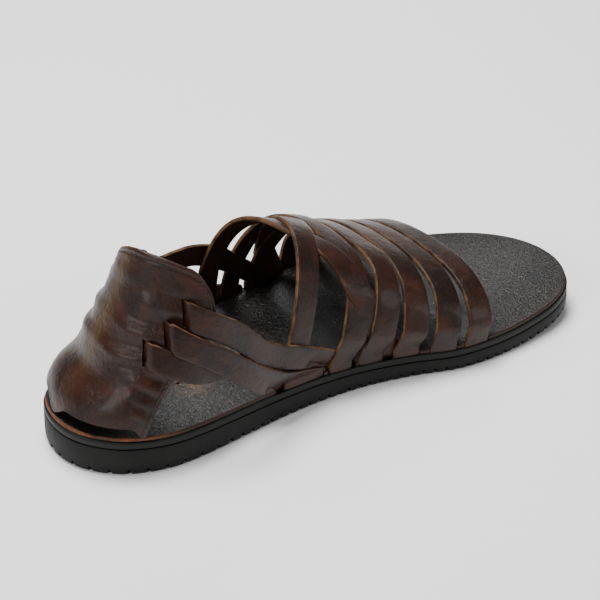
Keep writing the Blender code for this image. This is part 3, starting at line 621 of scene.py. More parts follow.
def sole_piece(name, edge, rings, across, cap_low, cap_high, materials, side_slot=0, sharp=50.0):
    """A layer of the sole: rings of inset and height, with a fine grid over one or both faces."""
    count = len(edge.shares) - 1
    loop = 2 * count
    vertices = []
    for inset, height in rings:
        points = edge.ring(inset)
        points[:, 2] = [height(i, p) for i, p in enumerate(points)]
        vertices.append(points)
    faces = []
    slots = []
    for r in range(len(rings) - 1):
        low, high = r * loop, (r + 1) * loop
        for i in range(loop):
            j = (i + 1) % loop
            faces.append((low + i, low + j, high + j, high + i))
            slots.append(side_slot)
    total = len(rings) * loop
    for start, cap in ((0, cap_low), ((len(rings) - 1) * loop, cap_high)):
        ring = vertices[start // loop]
        grid = {}
        for i in range(1, count):
            a, b = ring[i], ring[loop - i]
            grid[i, 0], grid[i, across] = start + i, start + loop - i
            if across > 1:
                t = (np.arange(1, across) / across)[:, None]
                inside = a + (b - a) * t
                inside[:, 2] = cap(i, inside)
                vertices.append(inside)
                for j in range(1, across):
                    grid[i, j] = total + j - 1
                total += across - 1
        for i in range(1, count - 1):
            for j in range(across):
                faces.append((grid[i, j], grid[i + 1, j], grid[i + 1, j + 1], grid[i, j + 1]))
                slots.append(0)
        for j in range(across):
            faces.append((start, grid[1, j], grid[1, j + 1]))
            faces.append((start + count, grid[count - 1, j + 1], grid[count - 1, j]))
            slots += [0, 0]
    return add_mesh(name, np.concatenate(vertices), faces, materials, slots, sharp)


# Tread: grooves run from notch to notch across the sole in a long S
GROOVE_WIDTH = 0.0018
GROOVE_DEPTH = 0.0026
GROOVE_PITCH_HEEL = 0.0090
GROOVE_PITCH_FRONT = 0.0056
GROOVE_WALL = 0.0006
SWAY, BOW = 1.9, 1.2
CROSSING_PITCH = 0.0115
CROSSING_SLANT = 0.8
CROSSING_BREADTH = 0.062


def notch_counter(side):
    """How many notches lie behind each place on one side, as places and running counts."""
    places, counts = [0.0], [0.0]
    travelled = GROOVE_PITCH_HEEL / 2.0
    before = edge_point(0.0, side)[0]
    passed = 0
    for i in range(1, 500):
        share = 0.985 * i / 500
        here = edge_point(share, side)[0]
        travelled += (here - before).length
        before = here
        closer = smooth((share - 0.22) / 0.10)
        pitch = GROOVE_PITCH_HEEL + (GROOVE_PITCH_FRONT - GROOVE_PITCH_HEEL) * closer
        if travelled >= pitch:
            travelled = 0.0
            passed += 1
            places.append(share)
            counts.append(float(passed))
    places.append(1.0)
    counts.append(passed + (1.0 - places[-2]) * SOLE_LENGTH / GROOVE_PITCH_FRONT)
    return np.array(places), np.array(counts)


NOTCHES = {side: notch_counter(side) for side in (-1, 1)}


def groove_depth(along, across):
    """Depth of the tread at a place, across 0 at the inner edge and 1 at the outer."""
    inner = np.interp(along, *NOTCHES[-1])
    outer = np.interp(along, *NOTCHES[1])
    pitch_inner = GROOVE_PITCH_FRONT + (GROOVE_PITCH_HEEL - GROOVE_PITCH_FRONT) * (along < 0.25)
    wave = np.sin(2.0 * math.pi * across) * SWAY + np.sin(math.pi * across) ** 2 * BOW
    phase = inner + (outer - inner) * across + wave
    away = np.abs(phase - np.round(phase)) * pitch_inner
    half = GROOVE_WIDTH / 2.0
    main = np.clip((half + GROOVE_WALL / 2.0 - away) / GROOVE_WALL, 0.0, 1.0)
    crossing = (along * SOLE_LENGTH * CROSSING_SLANT + across * CROSSING_BREADTH) / CROSSING_PITCH
    away = np.abs(crossing - np.round(crossing)) * CROSSING_PITCH
    second = np.clip((half * 0.8 + GROOVE_WALL / 2.0 - away) / GROOVE_WALL, 0.0, 1.0)
    zone = np.clip((0.46 - across) / 0.08, 0, 1) * np.clip((along - 0.05) / 0.04, 0, 1) * np.clip(
        (0.52 - along) / 0.06, 0, 1)
    rim = np.clip((across - 0.035) / 0.02, 0, 1)
    return np.maximum(main, second * np.minimum(zone, rim)) * GROOVE_DEPTH


def make_outsole():
    """The rubber sole with its tread and the open ends of the grooves along its lower edge."""
    edge = SoleEdge(760)
    shares = edge.shares
    count = len(shares) - 1

    def place_of(index):
        if index <= count:
            return shares[index], 0.0
        return shares[2 * count - index], 1.0

    ring_depth = np.array([float(groove_depth(*place_of(i))) for i in range(2 * count)])

    def at_floor(i, p):
        return floor_rise(p[0]) + ring_depth[i]

    def above(rise):
        return lambda i, p: floor_rise(p[0]) + max(rise, ring_depth[i] + min(rise, 0.0004))

    def under_top(drop):
        return lambda i, p: outsole_top(p[0]) - drop

    across = 60

    def tread(i, points):
        t = np.arange(1, across) / across
        rise = floor_rise(points[0, 0])
        return rise + groove_depth(np.full(len(t), shares[i]), t)

    rings = [(0.0012, at_floor), (0.0005, above(0.0004)), (0.0, above(0.0012)), (-0.0002, above(0.0045)),
             (0.0, under_top(0.0006)), (0.0003, under_top(0.0)), (0.003, under_top(0.0))]
    thing = sole_piece("outsole_tread", edge, rings, across, tread,
                       lambda i, points: [outsole_top(p[0]) for p in points], [OUTSOLE_RUBBER], sharp=38.0)
    return dress(thing, "rubber", "outsole")


# Straps
FLAT = STRAP_THICKNESS / 2.0
OVER = STRAP_THICKNESS * 1.44
COUNTER_INSIDE = STRAP_THICKNESS + CURVED_GAP
COUNTER_OUTSIDE = COUNTER_INSIDE + COUNTER_THICKNESS
ON_COUNTER = COUNTER_OUTSIDE + CURVED_GAP + STRAP_THICKNESS / 2.0
ON_TWO = ON_COUNTER + STRAP_THICKNESS * 0.94
OUTER_FOOT = GAP * 2.0 + STRAP_THICKNESS / 2.0
INNER_FOOT = OUTER_FOOT + STRAP_THICKNESS * 0.94
STATION_SPACING = 0.0055
HEEL_STATION_SPACING = 0.0037
FINE_SPACING = 0.0006
SLIT_RUN = 0.0040
ARCH_START = 0.09
EASE = 0.0006

CROSS_STRAPS = [
    {"name": "cross_rear", "inner": 0.490, "crown": 0.545, "outer": 0.424,
     "ends": (OUTER_FOOT, OUTER_FOOT), "lifts": (OVER, FLAT, FLAT, OVER, OVER)},
    {"name": "cross_instep", "inner": 0.547, "crown": 0.597, "outer": 0.484,
     "ends": (OUTER_FOOT, OUTER_FOOT), "lifts": (OVER, OVER, FLAT, FLAT, FLAT)},
    {"name": "cross_middle", "inner": 0.612, "crown": 0.648, "outer": 0.566,
     "ends": (OUTER_FOOT, OUTER_FOOT), "lifts": (OVER, FLAT, FLAT, FLAT, OVER)},
    {"name": "ball_strap", "inner": 0.677, "crown": 0.698, "outer": 0.620,
     "ends": (OUTER_FOOT, OUTER_FOOT), "lifts": (FLAT, FLAT, FLAT, FLAT, FLAT)},
    {"name": "toe_strap", "inner": 0.740, "crown": 0.750, "outer": 0.676,
     "ends": (OUTER_FOOT, OUTER_FOOT), "lifts": (FLAT, FLAT, FLAT, FLAT, FLAT)},
    {"name": "diagonal_inner", "inner": 0.382, "crown": 0.480, "outer": 0.526,
     "ends": (INNER_FOOT, INNER_FOOT), "lifts": (FLAT, FLAT, OVER, FLAT, OVER)},
    {"name": "diagonal_outer", "inner": 0.582, "crown": 0.480, "outer": 0.362,
     "ends": (INNER_FOOT, INNER_FOOT), "lifts": (FLAT, OVER, FLAT, FLAT, FLAT)},
]

HEEL_STRAPS = [
    {"name": "heel_strap_top", "rear": 0.832, "slit": {"along": 0.206, "height": 0.712},
     "before": {"along": 0.168, "height": 0.785},
     "marks": [{"along": 0.242, "height": 0.648, "outer": 0.575, "lift": ON_COUNTER},
               {"along": 0.280, "height": 0.562, "outer": 0.515, "lift": ON_COUNTER - 2.0 * EASE},
               {"along": 0.318, "height": 0.446, "outer": 0.490, "lift": OVER + 2.0 * EASE},
               {"along": 0.352, "height": 0.372, "outer": 0.480, "lift": OVER},
               {"along": 0.402, "height": 0.314, "outer": 0.410, "lift": OVER},
               {"along": 0.445, "height": 0.271, "outer": 0.310, "lift": FLAT}],
     "foot": {"along": 0.492, "inset": INNER_FOOT, "width": NARROW_FOOT}},
    {"name": "heel_strap_middle", "rear": 0.697, "slit": {"along": 0.174, "height": 0.625, "tighter": 0.0008},
     "before": {"along": 0.140, "height": 0.674},
     "marks": [{"along": 0.206, "height": 0.566, "lift": ON_TWO - EASE},
               {"along": 0.238, "height": 0.502, "lift": ON_TWO},
               {"along": 0.268, "height": 0.426, "lift": ON_TWO},
               {"along": 0.310, "height": 0.324, "lift": ON_TWO - 2.0 * EASE},
               {"along": 0.350, "height": 0.247, "lift": OVER + 2.0 * EASE}],
     "foot": {"along": 0.416, "inset": OUTER_FOOT, "width": WIDE_FOOT}},
    {"name": "heel_strap_low", "rear": 0.562, "slit": {"along": 0.140, "height": 0.545},
     "before": {"along": 0.110, "height": 0.568},
     "marks": [{"along": 0.168, "height": 0.500, "lift": ON_COUNTER},
               {"along": 0.198, "height": 0.466, "lift": ON_COUNTER},
               {"along": 0.232, "height": 0.442, "lift": OVER + 2.0 * EASE},
               {"along": 0.268, "height": 0.426, "lift": OVER + 2.0 * EASE},
               {"along": 0.304, "height": 0.360, "lift": OVER + EASE},
               {"along": 0.330, "height": 0.306, "lift": OVER}],
     "foot": None},
]


def strap_height(mark, side, share=1.0):
    height = mark["height"]
    if side > 0:
        lower = OUTER_DROP * share * smooth((height - DROP_FROM) / (DROP_TO - DROP_FROM))
        height = mark.get("outer", height - lower)
    return height * COUNTER_HEIGHT


def spline(marks, spacing):
    points = []
    ends = [marks[0]] + marks + [marks[-1]]
    for i in range(1, len(ends) - 2):
        before, start, end, after = ends[i - 1:i + 3]
        steps = max(2, round(math.dist(start[:3], end[:3]) / spacing))
        for k in range(steps):
            t = k / steps
            points.append([0.5 * (2 * b + (c - a) * t + (2 * a - 5 * b + 4 * c - d) * t ** 2
                                  + (3 * b - a - 3 * c + d) * t ** 3)
                           for a, b, c, d in zip(before, start, end, after)])
    points.append(list(marks[-1]))
    return points


def foot_stations(along, side, inset, width):
    """A strap end from its tongue under the insole, round the bend, up past the edge."""
    here, outward, forward = edge_point(along, side)
    top = stack_top(here.x)
    level = top - SEAT_GAP - STRAP_THICKNESS / 2.0
    half = forward * (width / 2.0)
    down = Vector((0.0, 0.0, -1.0))
    stations = []
    for depth in (TONGUE_LENGTH, BEND_RADIUS):
        centre = here - outward * (inset + depth)
        stations.append((Vector((centre.x, centre.y, level)), down, half))
    for turn in (0.35, 0.7, 1.0):
        angle = turn * math.pi / 2.0
        centre = here - outward * (inset + BEND_RADIUS * (1.0 - math.sin(angle)))
        height = level + BEND_RADIUS * (1.0 - math.cos(angle))
        normal = (outward * math.sin(angle) + down * math.cos(angle)).normalized()
        stations.append((Vector((centre.x, centre.y, height)), normal, half))
    top_station = here - outward * (inset - GAP)
    stations.append((Vector((top_station.x, top_station.y, top + FOOT_RISE)), outward.copy(), half))
    return stations


def cross_strap_stations(row):
    """Stations of a strap over the instep, from its inner foot to its outer foot."""
    inner = foot_stations(row["inner"], -1, row["ends"][0], STRAP_WIDTH)
    outer = foot_stations(row["outer"], 1, row["ends"][1], STRAP_WIDTH)
    marks = []
    reach = 1.0 - 2.0 * ARCH_START
    for i in range(9):
        turn = ARCH_START + reach * i / 8
        bow = math.sin(math.pi * turn)
        straight = row["inner"] + (row["outer"] - row["inner"]) * turn
        middle = 0.5 * (row["inner"] + row["outer"])
        along = straight + (row["crown"] - middle) * bow
        lift = curve_through([0.0, 0.25, 0.5, 0.75, 1.0], list(row["lifts"]), (turn - ARCH_START) / reach)
        place, _ = on_last(arch_guess(along, turn))
        marks.append([*place, lift])
    body = []
    path = [on_last(p[:3], p[3]) for p in spline(marks, STATION_SPACING)]
    for i, (place, outward) in enumerate(path):
        ahead = path[min(i + 1, len(path) - 1)][0] - path[max(i - 1, 0)][0]
        body.append((place, outward, outward.cross(ahead).normalized() * (STRAP_WIDTH / 2.0)))
    return inner + body + list(reversed(outer))


def heel_strap_half(row, side):
    """Places and lifts that a heel strap goes through on one side."""
    marks = []
    before = row["before"]
    from_rear = x_of(before["along"]) - heel_rear(before["height"] * COUNTER_HEIGHT)
    reach = from_rear / (HEEL_ROUND * SOLE_LENGTH)
    last_turn = math.acos(clamp(1.0 - reach, -1.0, 1.0)) * 2.0 / math.pi
    for share in (0.0, 0.36, 0.72):
        height = row["rear"] + (before["height"] - row["rear"]) * share ** 2
        z = strap_height({"height": height}, side, share)
        place, _ = on_last(heel_guess(last_turn * share, z, side))
        marks.append([*place, FLAT])
    for mark in (before, row["slit"]):
        place = side_place(mark["along"], strap_height(mark, side), side)
        marks.append([*place, row["marks"][0]["lift"]])
    for mark in row["marks"]:
        place = side_place(mark["along"], strap_height(mark, side), side)
        marks.append([*place, mark["lift"]])
    return marks


def from_slit(points, slit_x):
    """Adds to each point its distance along the strap from the slit."""
    travel = 0.0
    zero = 0.0
    rows = []
    for i, here in enumerate(points):
        if i:
            travel += math.dist(points[i - 1][:3], here[:3])
        if here[0] < slit_x:
            zero = travel
        rows.append([*here, travel])
    return [row[:4] + [row[4] - zero] for row in rows]


def thin_out(points):
    """Keeps points a station apart, and both ends of the run through the slit."""
    kept = [points[0]]
    for before, here in zip(points, points[1:]):
        if before[4] < -SLIT_RUN / 2.0 <= here[4]:
            kept.append(before)
        elif before[4] < SLIT_RUN / 2.0 <= here[4]:
            kept.append(here)
        elif math.dist(kept[-1][:3], here[:3]) >= HEEL_STATION_SPACING:
            kept.append(here)
    return kept


def heel_strap_side(row, side):
    """Stations of a heel strap from the back of the heel to its foot on one side."""
    fine = spline(heel_strap_half(row, side), FINE_SPACING)
    places = []
    for x, y, z, lift, travel in thin_out(from_slit(fine, x_of(row["slit"]["along"]))):
        out = clamp(travel / SLIT_RUN + 0.5)
        places.append(on_last((x, y, z), FLAT + (lift - FLAT) * out))
    up = Vector((0.0, 0.0, 1.0))
    stations = []
    for i, (place, outward) in enumerate(places):
        ahead = places[min(i + 1, len(places) - 1)][0] - places[max(i - 1, 0)][0]
        level = math.hypot(ahead.x, ahead.y) / max(ahead.length, 1e-6)
        upright = (up - outward * up.dot(outward)).normalized()
        stations.append((place, outward, upright * (HEEL_STRAP_WIDTH / 2.0 / max(level, 0.6))))
    if row["foot"]:
        foot = row["foot"]
        end = list(reversed(foot_stations(foot["along"], side, foot["inset"], foot["width"])))
        turn_over = 4
        for k in range(1, turn_over):
            place, outward, half = stations[-turn_over + k]
            mix = smooth(k / turn_over) * 0.8
            stations[-turn_over + k] = (place, outward, half.lerp(end[0][2], mix))
        stations += end
    return stations


# Section of a strap: place across from -1 to 1, inset from the edge in mm, height as a share of half
# the thickness. The grain side is a little crowned, its edges are rounded off and the cut edge is raw
STRAP_SECTION = [
    (-1, 0.75, 0.97), (-1, 3.2, 1.04), (0, 0.0, 1.07), (1, 3.2, 1.04), (1, 0.75, 0.97),
    (1, 0.30, 0.86), (1, 0.03, 0.52), (1, 0.00, -0.55), (1, 0.22, -0.98),
    (1, 2.5, -1.0), (-1, 2.5, -1.0), (-1, 0.22, -0.98),
    (-1, 0.00, -0.55), (-1, 0.03, 0.52), (-1, 0.30, 0.86),
]
GRAIN, EDGE, INSIDE = 0, 1, 2
STRAP_SECTION_SLOTS = [GRAIN, GRAIN, GRAIN, GRAIN, GRAIN, EDGE, EDGE, EDGE,
                       INSIDE, INSIDE, INSIDE, EDGE, EDGE, EDGE, GRAIN]


def strap_mesh(stations, seed, spacing=0.0014):
    """Vertices, faces and slots of one strap drawn finely through its stations."""
    rows = []
    previous = None
    for centre, outward, half in stations:
        if previous is not None and half.dot(previous) < 0.0:
            half = -half
        previous = half
        rows.append([*centre, *outward, *half])
    rows = np.array(rows)
    steps = np.linalg.norm(np.diff(rows[:, :3], axis=0), axis=1)
    travel = np.concatenate([[0.0], np.cumsum(steps)])
    count = max(8, int(travel[-1] / spacing))
    at = np.unique(np.concatenate([np.linspace(0.0, travel[-1], count), travel[:6], travel[-6:]]))
    fine = smooth_rows(travel, rows, at)
    centre, outward, half = fine[:, :3], unit(fine[:, 3:6]), fine[:, 6:9]
    width = np.linalg.norm(half, axis=1, keepdims=True)
    along = unit(half)
    wander = 0.12 * MM * (np.sin(at / 0.0091 + seed) + 0.6 * np.sin(at / 0.0047 + 2.1 * seed))
    vertices = []
    for side, inset, height in STRAP_SECTION:
        across = side * (width[:, 0] - inset * MM + (wander if inset < 1.0 else 0.0))
        vertices.append(centre + along * across[:, None] + outward * (height * STRAP_THICKNESS / 2.0))
    vertices = np.stack(vertices, axis=1)
    ring = len(STRAP_SECTION)
    faces, slots = [], []
    for i in range(len(at) - 1):
        for k in range(ring):
            a, b = i * ring + k, i * ring + (k + 1) % ring
            faces.append((a, b, b + ring, a + ring))
            slots.append(STRAP_SECTION_SLOTS[k])
    last = (len(at) - 1) * ring
    faces.append(tuple(range(ring)))
    faces.append(tuple(last + k for k in reversed(range(ring))))
    slots += [EDGE, EDGE]
    return vertices.reshape(-1, 3), faces, slots


def join_straps(name, station_lists):
    """One mesh of several straps."""
    vertices, faces, slots, base = [], [], [], 0
    for seed, stations in enumerate(station_lists):
        points, quads, kinds = strap_mesh(stations, seed + 1.0)
        vertices.append(points)
        faces += [tuple(base + c for c in face) for face in quads]
        slots += kinds
        base += len(points)
    return add_mesh(name, np.concatenate(vertices), faces, [UPPER, RAW_EDGE, FLESH], slots, sharp=46.0)


def make_straps():
    """The two front straps and the woven rest, whose straps are one piece."""
    woven = []
    for row in HEEL_STRAPS:
        inner = heel_strap_side(row, -1)
        outer = heel_strap_side(row, 1)
        woven.append(list(reversed(inner)) + outer[1:])
    for row in CROSS_STRAPS:
        stations = cross_strap_stations(row)
        if row["name"] in ("ball_strap", "toe_strap"):
            dress(join_straps(row["name"] + "_leather", [stations]), "upper_leather", row["name"])
        else:
            woven.append(stations)
    return dress(join_straps("woven_straps_leather", woven), "upper_leather", "woven_straps")


# Heel counter
COUNTER_COLUMNS = 18
COUNTER_ROWS = 11
COUNTER_FRONT = name_columns("height along", [
    (0.17, 0.106),
    (0.26, 0.122),
    (0.42, 0.164),
    (0.56, 0.215),
    (0.66, 0.246),
    (0.85, 0.246),
])
RIM = name_columns("turn inner outer", [
    (0.0, 0.956, 0.956),
    (0.2, 0.970, 0.922),
    (0.4, 0.968, 0.842),
    (0.6, 0.954, 0.785),
    (0.8, 0.920, 0.748),
    (1.0, 0.875, 0.710),
])
COUNTER_LIFT = 0.0045
CORNER_RADIUS = 0.010
STITCH_INSET = 0.0027
STITCH_PITCH = 0.0029
STITCH_SHARE = 0.74
STITCH_RADIUS = 0.00036
SEAM_DEPTH = 0.30 * MM
SEAM_SPREAD = 0.7 * MM
ROLL_RISE = 0.30 * MM
ROLL_INSET = 1.1 * MM
ROLL_SPREAD = 0.9 * MM
EDGE_FADE = 6.0 * MM
RIM_CROWN = 0.45 * MM
FOOT_CROWN = 0.2 * MM
FRONT_CROWN = 0.4 * MM
COUNTER_SHARP = 60.0


def counter_column_height(turn, side):
    rear_seat = smooth(turn / 0.22)
    front_seat = smooth((1.0 - turn) / 0.16)
    low = SEAT_GAP + COUNTER_LIFT * rear_seat * front_seat
    high = COUNTER_HEIGHT * column(RIM, "inner" if side < 0 else "outer", turn, key="turn")
    corner = clamp((turn - 0.86) / 0.14)
    high -= CORNER_RADIUS * (1.0 - math.sqrt(1.0 - corner ** 2 * 0.96))
    return low, high


def counter_place(turn, share, side):
    low, high = counter_column_height(turn, side)
    foot_x = x_of(COUNTER_FRONT[0]["along"]) * turn + heel_rear(HEEL_STACK) * (1.0 - turn)
    z = insole_top(foot_x - COUNTER_OUTSIDE) + low
    z = z + (high - z) * share
    rear = heel_rear(z)
    length = HEEL_ROUND * SOLE_LENGTH
    front = x_of(column(COUNTER_FRONT, "along", z / COUNTER_HEIGHT, key="height"))
    quarter = 0.5 * math.pi * math.sqrt(0.5 * (length ** 2 + heel_half(z) ** 2))
    if front > rear + length:
        whole = quarter + front - rear - length
    else:
        whole = quarter * math.acos(clamp((rear + length - front) / length)) * 2.0 / math.pi
    travel = turn * whole
    if travel <= quarter:
        return heel_guess(travel / quarter, z, side)
    return side_place(along_of(rear + length + travel - quarter), z, side)


# Creases and swellings of the counter: side -1 inner, 1 outer or 0 both, start and end as x and z in mm,
# width and rise in mm, less than nothing for a trough. The leather puckers where the straps pull
CREASES = name_columns("what side start end width rise", [
    ("swelling behind the top slit", 0, (4, 80), (17, 76), 4.5, 1.2),
    ("trough under it", 0, (-2, 72), (14, 69), 3.2, -0.7),
    ("swelling behind the middle slit", 0, (-6, 68), (7, 65), 4.0, 1.2),
    ("trough under it", 0, (-9, 60), (5, 59), 3.0, -0.7),
    ("swelling behind the low slit", 0, (-14, 57), (-3, 56), 3.6, 1.1),
    ("lip of the top slit", 0, (24, 78), (24, 68), 2.6, 0.7),
    ("lip of the middle slit", 0, (14, 69), (14, 60), 2.6, 0.7),
    ("lip of the low slit", 0, (5, 60), (5, 52), 2.4, 0.7),
    ("first pucker of the waist", -1, (-9, 47), (3, 40), 2.0, 0.8),
    ("trough by it", -1, (-9, 43.5), (1, 37), 1.7, -0.6),
    ("second pucker of the waist", -1, (-12, 41), (-2, 34), 1.9, 0.7),
    ("trough by it", -1, (-13, 37), (-4, 31), 1.7, -0.5),
    ("outer pucker of the waist", 1, (-10, 44), (2, 38), 2.4, 0.8),
    ("outer trough by it", 1, (-12, 38), (-1, 33), 2.0, -0.5),
    ("fan of the waist, upper fold", -1, (-2, 52), (9, 47), 1.8, 0.6),
    ("fan of the waist, upper trough", -1, (-4, 49), (7, 43.5), 1.6, -0.5),
    ("fan of the waist, low fold", -1, (-13, 34), (-4, 28), 1.7, 0.5),
    ("wrinkle under the top slit", 0, (8, 74), (21, 70), 1.6, -0.5),
    ("wrinkle above the top slit", 0, (10, 84), (21, 81), 2.0, -0.45),
    ("wrinkle above the low slit", 0, (-12, 62), (1, 62), 1.7, -0.5),
    ("wrinkle behind the low slit", 0, (-12, 53), (0, 53.5), 1.6, -0.5),
    ("soft fold of the back", 0, (-8, 88), (6, 90), 4.0, 0.5),
])

# Dents, where the whole wall is pushed in, in the same terms as the creases
DENTS = name_columns("what side start end width rise", [
    ("dent over the heel bone", 0, (-38, 46), (-27, 48), 9.0, -3.2),
    ("soft hollow above it", 0, (-24, 66), (-18, 76), 7.0, -0.5),
    ("swelling of the heel under it", 0, (-36, 31), (-22, 33), 7.0, 0.5),
])


def crease_rise(table, points, side):
    """Height of the creases of a table at points of the counter."""
    total = np.zeros(len(points))
    where = points[:, [0, 2]] / MM
    for row in table:
        if row["side"] not in (0, side):
            continue
        start, end = np.array(row["start"], float), np.array(row["end"], float)
        line = end - start
        share = np.clip(((where - start) @ line) / (line @ line), 0.0, 1.0)
        away = np.linalg.norm(where - start - share[:, None] * line, axis=1)
        total += row["rise"] * MM * np.exp(-(away / row["width"]) ** 2 * 1.6)
    return total


def counter_sheet():
    """The counter's mid surface, outward directions and grid places, smooth and fine."""
    inside, outside = [], []
    turns = np.arange(-COUNTER_COLUMNS, COUNTER_COLUMNS + 1) / COUNTER_COLUMNS
    shares = np.arange(COUNTER_ROWS + 1) / COUNTER_ROWS
    for share in shares:
        for turn in turns:
            guess = counter_place(abs(turn), share, -1 if turn < 0 else 1)
            place, outward = on_last(guess, COUNTER_INSIDE)
            inside.append(place)
            outside.append(place + outward * COUNTER_THICKNESS)
    shape = (len(shares), len(turns), 3)
    fine_turns = np.concatenate([-FINE_TURN[::-1], [0.0], FINE_TURN])
    sheets = []
    for sheet in (inside, outside):
        grid = smooth_rows(shares, np.array(sheet).reshape(shape), FINE_SHARE)
        grid = smooth_rows(turns, grid.transpose(1, 0, 2), fine_turns).transpose(1, 0, 2)
        sheets.append(grid)
    return sheets[0], sheets[1], fine_turns


FINE_TURN = np.concatenate([np.linspace(0.012, 0.945, 78), np.linspace(0.951, 1.0, 11)])
FINE_SHARE = np.concatenate([np.linspace(0.0, 0.94, 52), np.linspace(0.946, 1.0, 11)])


def make_counter():
    """The heel counter: one creased wall with rolled and stitched edges and six slits."""
    inside, outside, turns = counter_sheet()
    outward = unit(outside - inside)
    rows, columns = outside.shape[:2]
    side = np.where(turns < 0, -1, 1)
    rise, dent = np.zeros((rows, columns)), np.zeros((rows, columns))
    for s in (-1, 1):
        pick = side == s
        flat = outside[:, pick].reshape(-1, 3)
        rise[:, pick] = crease_rise(CREASES, flat, s).reshape(rows, -1)
        dent[:, pick] = crease_rise(DENTS, flat, s).reshape(rows, -1)
    height = np.linalg.norm(np.diff(outside, axis=0), axis=2)
    below_rim = np.concatenate([np.cumsum(height[::-1], axis=0)[::-1], np.zeros((1, columns))])
    run = np.linalg.norm(np.diff(outside, axis=1), axis=2)
    middle = columns // 2
    from_front = np.zeros((rows, columns))
    from_front[:, :middle + 1] = np.concatenate(
        [np.zeros((rows, 1)), np.cumsum(run[:, :middle], axis=1)], axis=1)
    from_front[:, middle:] = np.concatenate(
        [np.cumsum(run[:, middle:][:, ::-1], axis=1)[:, ::-1], np.zeros((rows, 1))], axis=1)
    edge = np.minimum(below_rim, from_front)
    seam = -SEAM_DEPTH * np.exp(-((edge - STITCH_INSET) / SEAM_SPREAD) ** 2)
    roll = ROLL_RISE * np.exp(-((edge - ROLL_INSET) / ROLL_SPREAD) ** 2)
    edge_fade = np.clip(edge / EDGE_FADE, 0.0, 1.0)
    face = outside + outward * ((rise + dent) * edge_fade + seam + roll)[..., None]
    back = inside + outward * ((np.maximum(rise, 0.0) * 0.8 + dent) * edge_fade)[..., None]
    centre = 0.5 * (face + back)

    up = unit(outside[-1] - outside[-2])
    down = unit(outside[0] - outside[1])
    rim_line = 0.5 * (face[-1] + back[-1]) + up * RIM_CROWN
    foot_line = 0.5 * (face[0] + back[0]) + down * FOOT_CROWN
    loops = np.stack([*face, rim_line, *back[::-1], foot_line])
    ring = len(loops)
    vertices = loops.transpose(1, 0, 2).reshape(-1, 3)
    faces, slots = [], []
    for i in range(columns - 1):
        for k in range(ring):
            a, b = i * ring + k, i * ring + (k + 1) % ring
            faces.append((a, a + ring, b + ring, b))
            slots.append(GRAIN if k <= rows else INSIDE if k < 2 * rows else EDGE)
    extra = []
    for start, near in ((0, 1), (columns - 1, columns - 2)):
        ahead = unit(outside[:, start] - outside[:, near])
        line = centre[:, start] + ahead * FRONT_CROWN
        base = len(vertices) + len(extra) * rows
        extra.append(line)
        first = start * ring
        for j in range(rows - 1):
            inner = first + 2 * rows - j
            faces.append((first + j, first + j + 1, base + j + 1, base + j))
            faces.append((inner, base + j, base + j + 1, inner - 1))
            slots += [GRAIN, EDGE]
        top, foot = first + rows, first + ring - 1
        faces.append((first + rows - 1, top, base + rows - 1))
        faces.append((top, first + rows + 1, base + rows - 1))
        faces.append((first, base, foot))
        faces.append((foot, base, first + 2 * rows))
        slots += [GRAIN, EDGE, EDGE, EDGE]
    vertices = np.concatenate([vertices] + extra)
    counter = add_mesh("heel_counter_leather", vertices, faces, [UPPER, RAW_EDGE, FLESH], slots,
                       COUNTER_SHARP)
    turn_of = np.repeat(turns, ring)
    # Painted sheen: a lighter band down the counter's rear ridge, fading in above about a quarter of its
    # height, in place of a softbox reflection
    rear_sheen_band = 0.5 * np.exp(-((turn_of + 0.04) / 0.11) ** 2)
    rear_sheen_band = np.concatenate([rear_sheen_band, np.zeros(2 * rows)])
    height_of = vertices[:, 2] / COUNTER_HEIGHT
    rear_sheen_band *= np.clip((height_of - 0.28) / 0.25, 0.0, 1.0)
    paint_points(counter, "painted_rear_sheen", rear_sheen_band)
    for row in HEEL_STRAPS:
        for s in (-1, 1):
            cut(counter, slit_tool(row, s))
    shade(counter, COUNTER_SHARP)
    dress(counter, "upper_leather", "heel_counter")
    stitch_counter(face, outward, below_rim, from_front, turns)
    return counter


def slit_tool(row, side):
    """The cutter of one slit, in line with the strap that leaves through it."""
    slit = row["slit"]
    after = row["marks"][0]
    middle = (COUNTER_INSIDE + COUNTER_OUTSIDE) / 2.0
    here, outward = on_last(side_place(slit["along"], strap_height(slit, side), side), middle)
    ahead, _ = on_last(side_place(after["along"], strap_height(after, side), side), middle)
    forward = (ahead - here).normalized()
    level = math.hypot(forward.x, forward.y)
    up = Vector((0.0, 0.0, 1.0))
    upright = (up - outward * up.dot(outward)).normalized()
    tighter = slit.get("tighter", 0.0)
    half_height = HEEL_STRAP_WIDTH / 2.0 / level + SLIT_MARGIN - tighter
    return block(here - upright * tighter, forward * SLIT_HALF / level, upright * half_height,
                 outward * SLIT_REACH, RAW_EDGE)


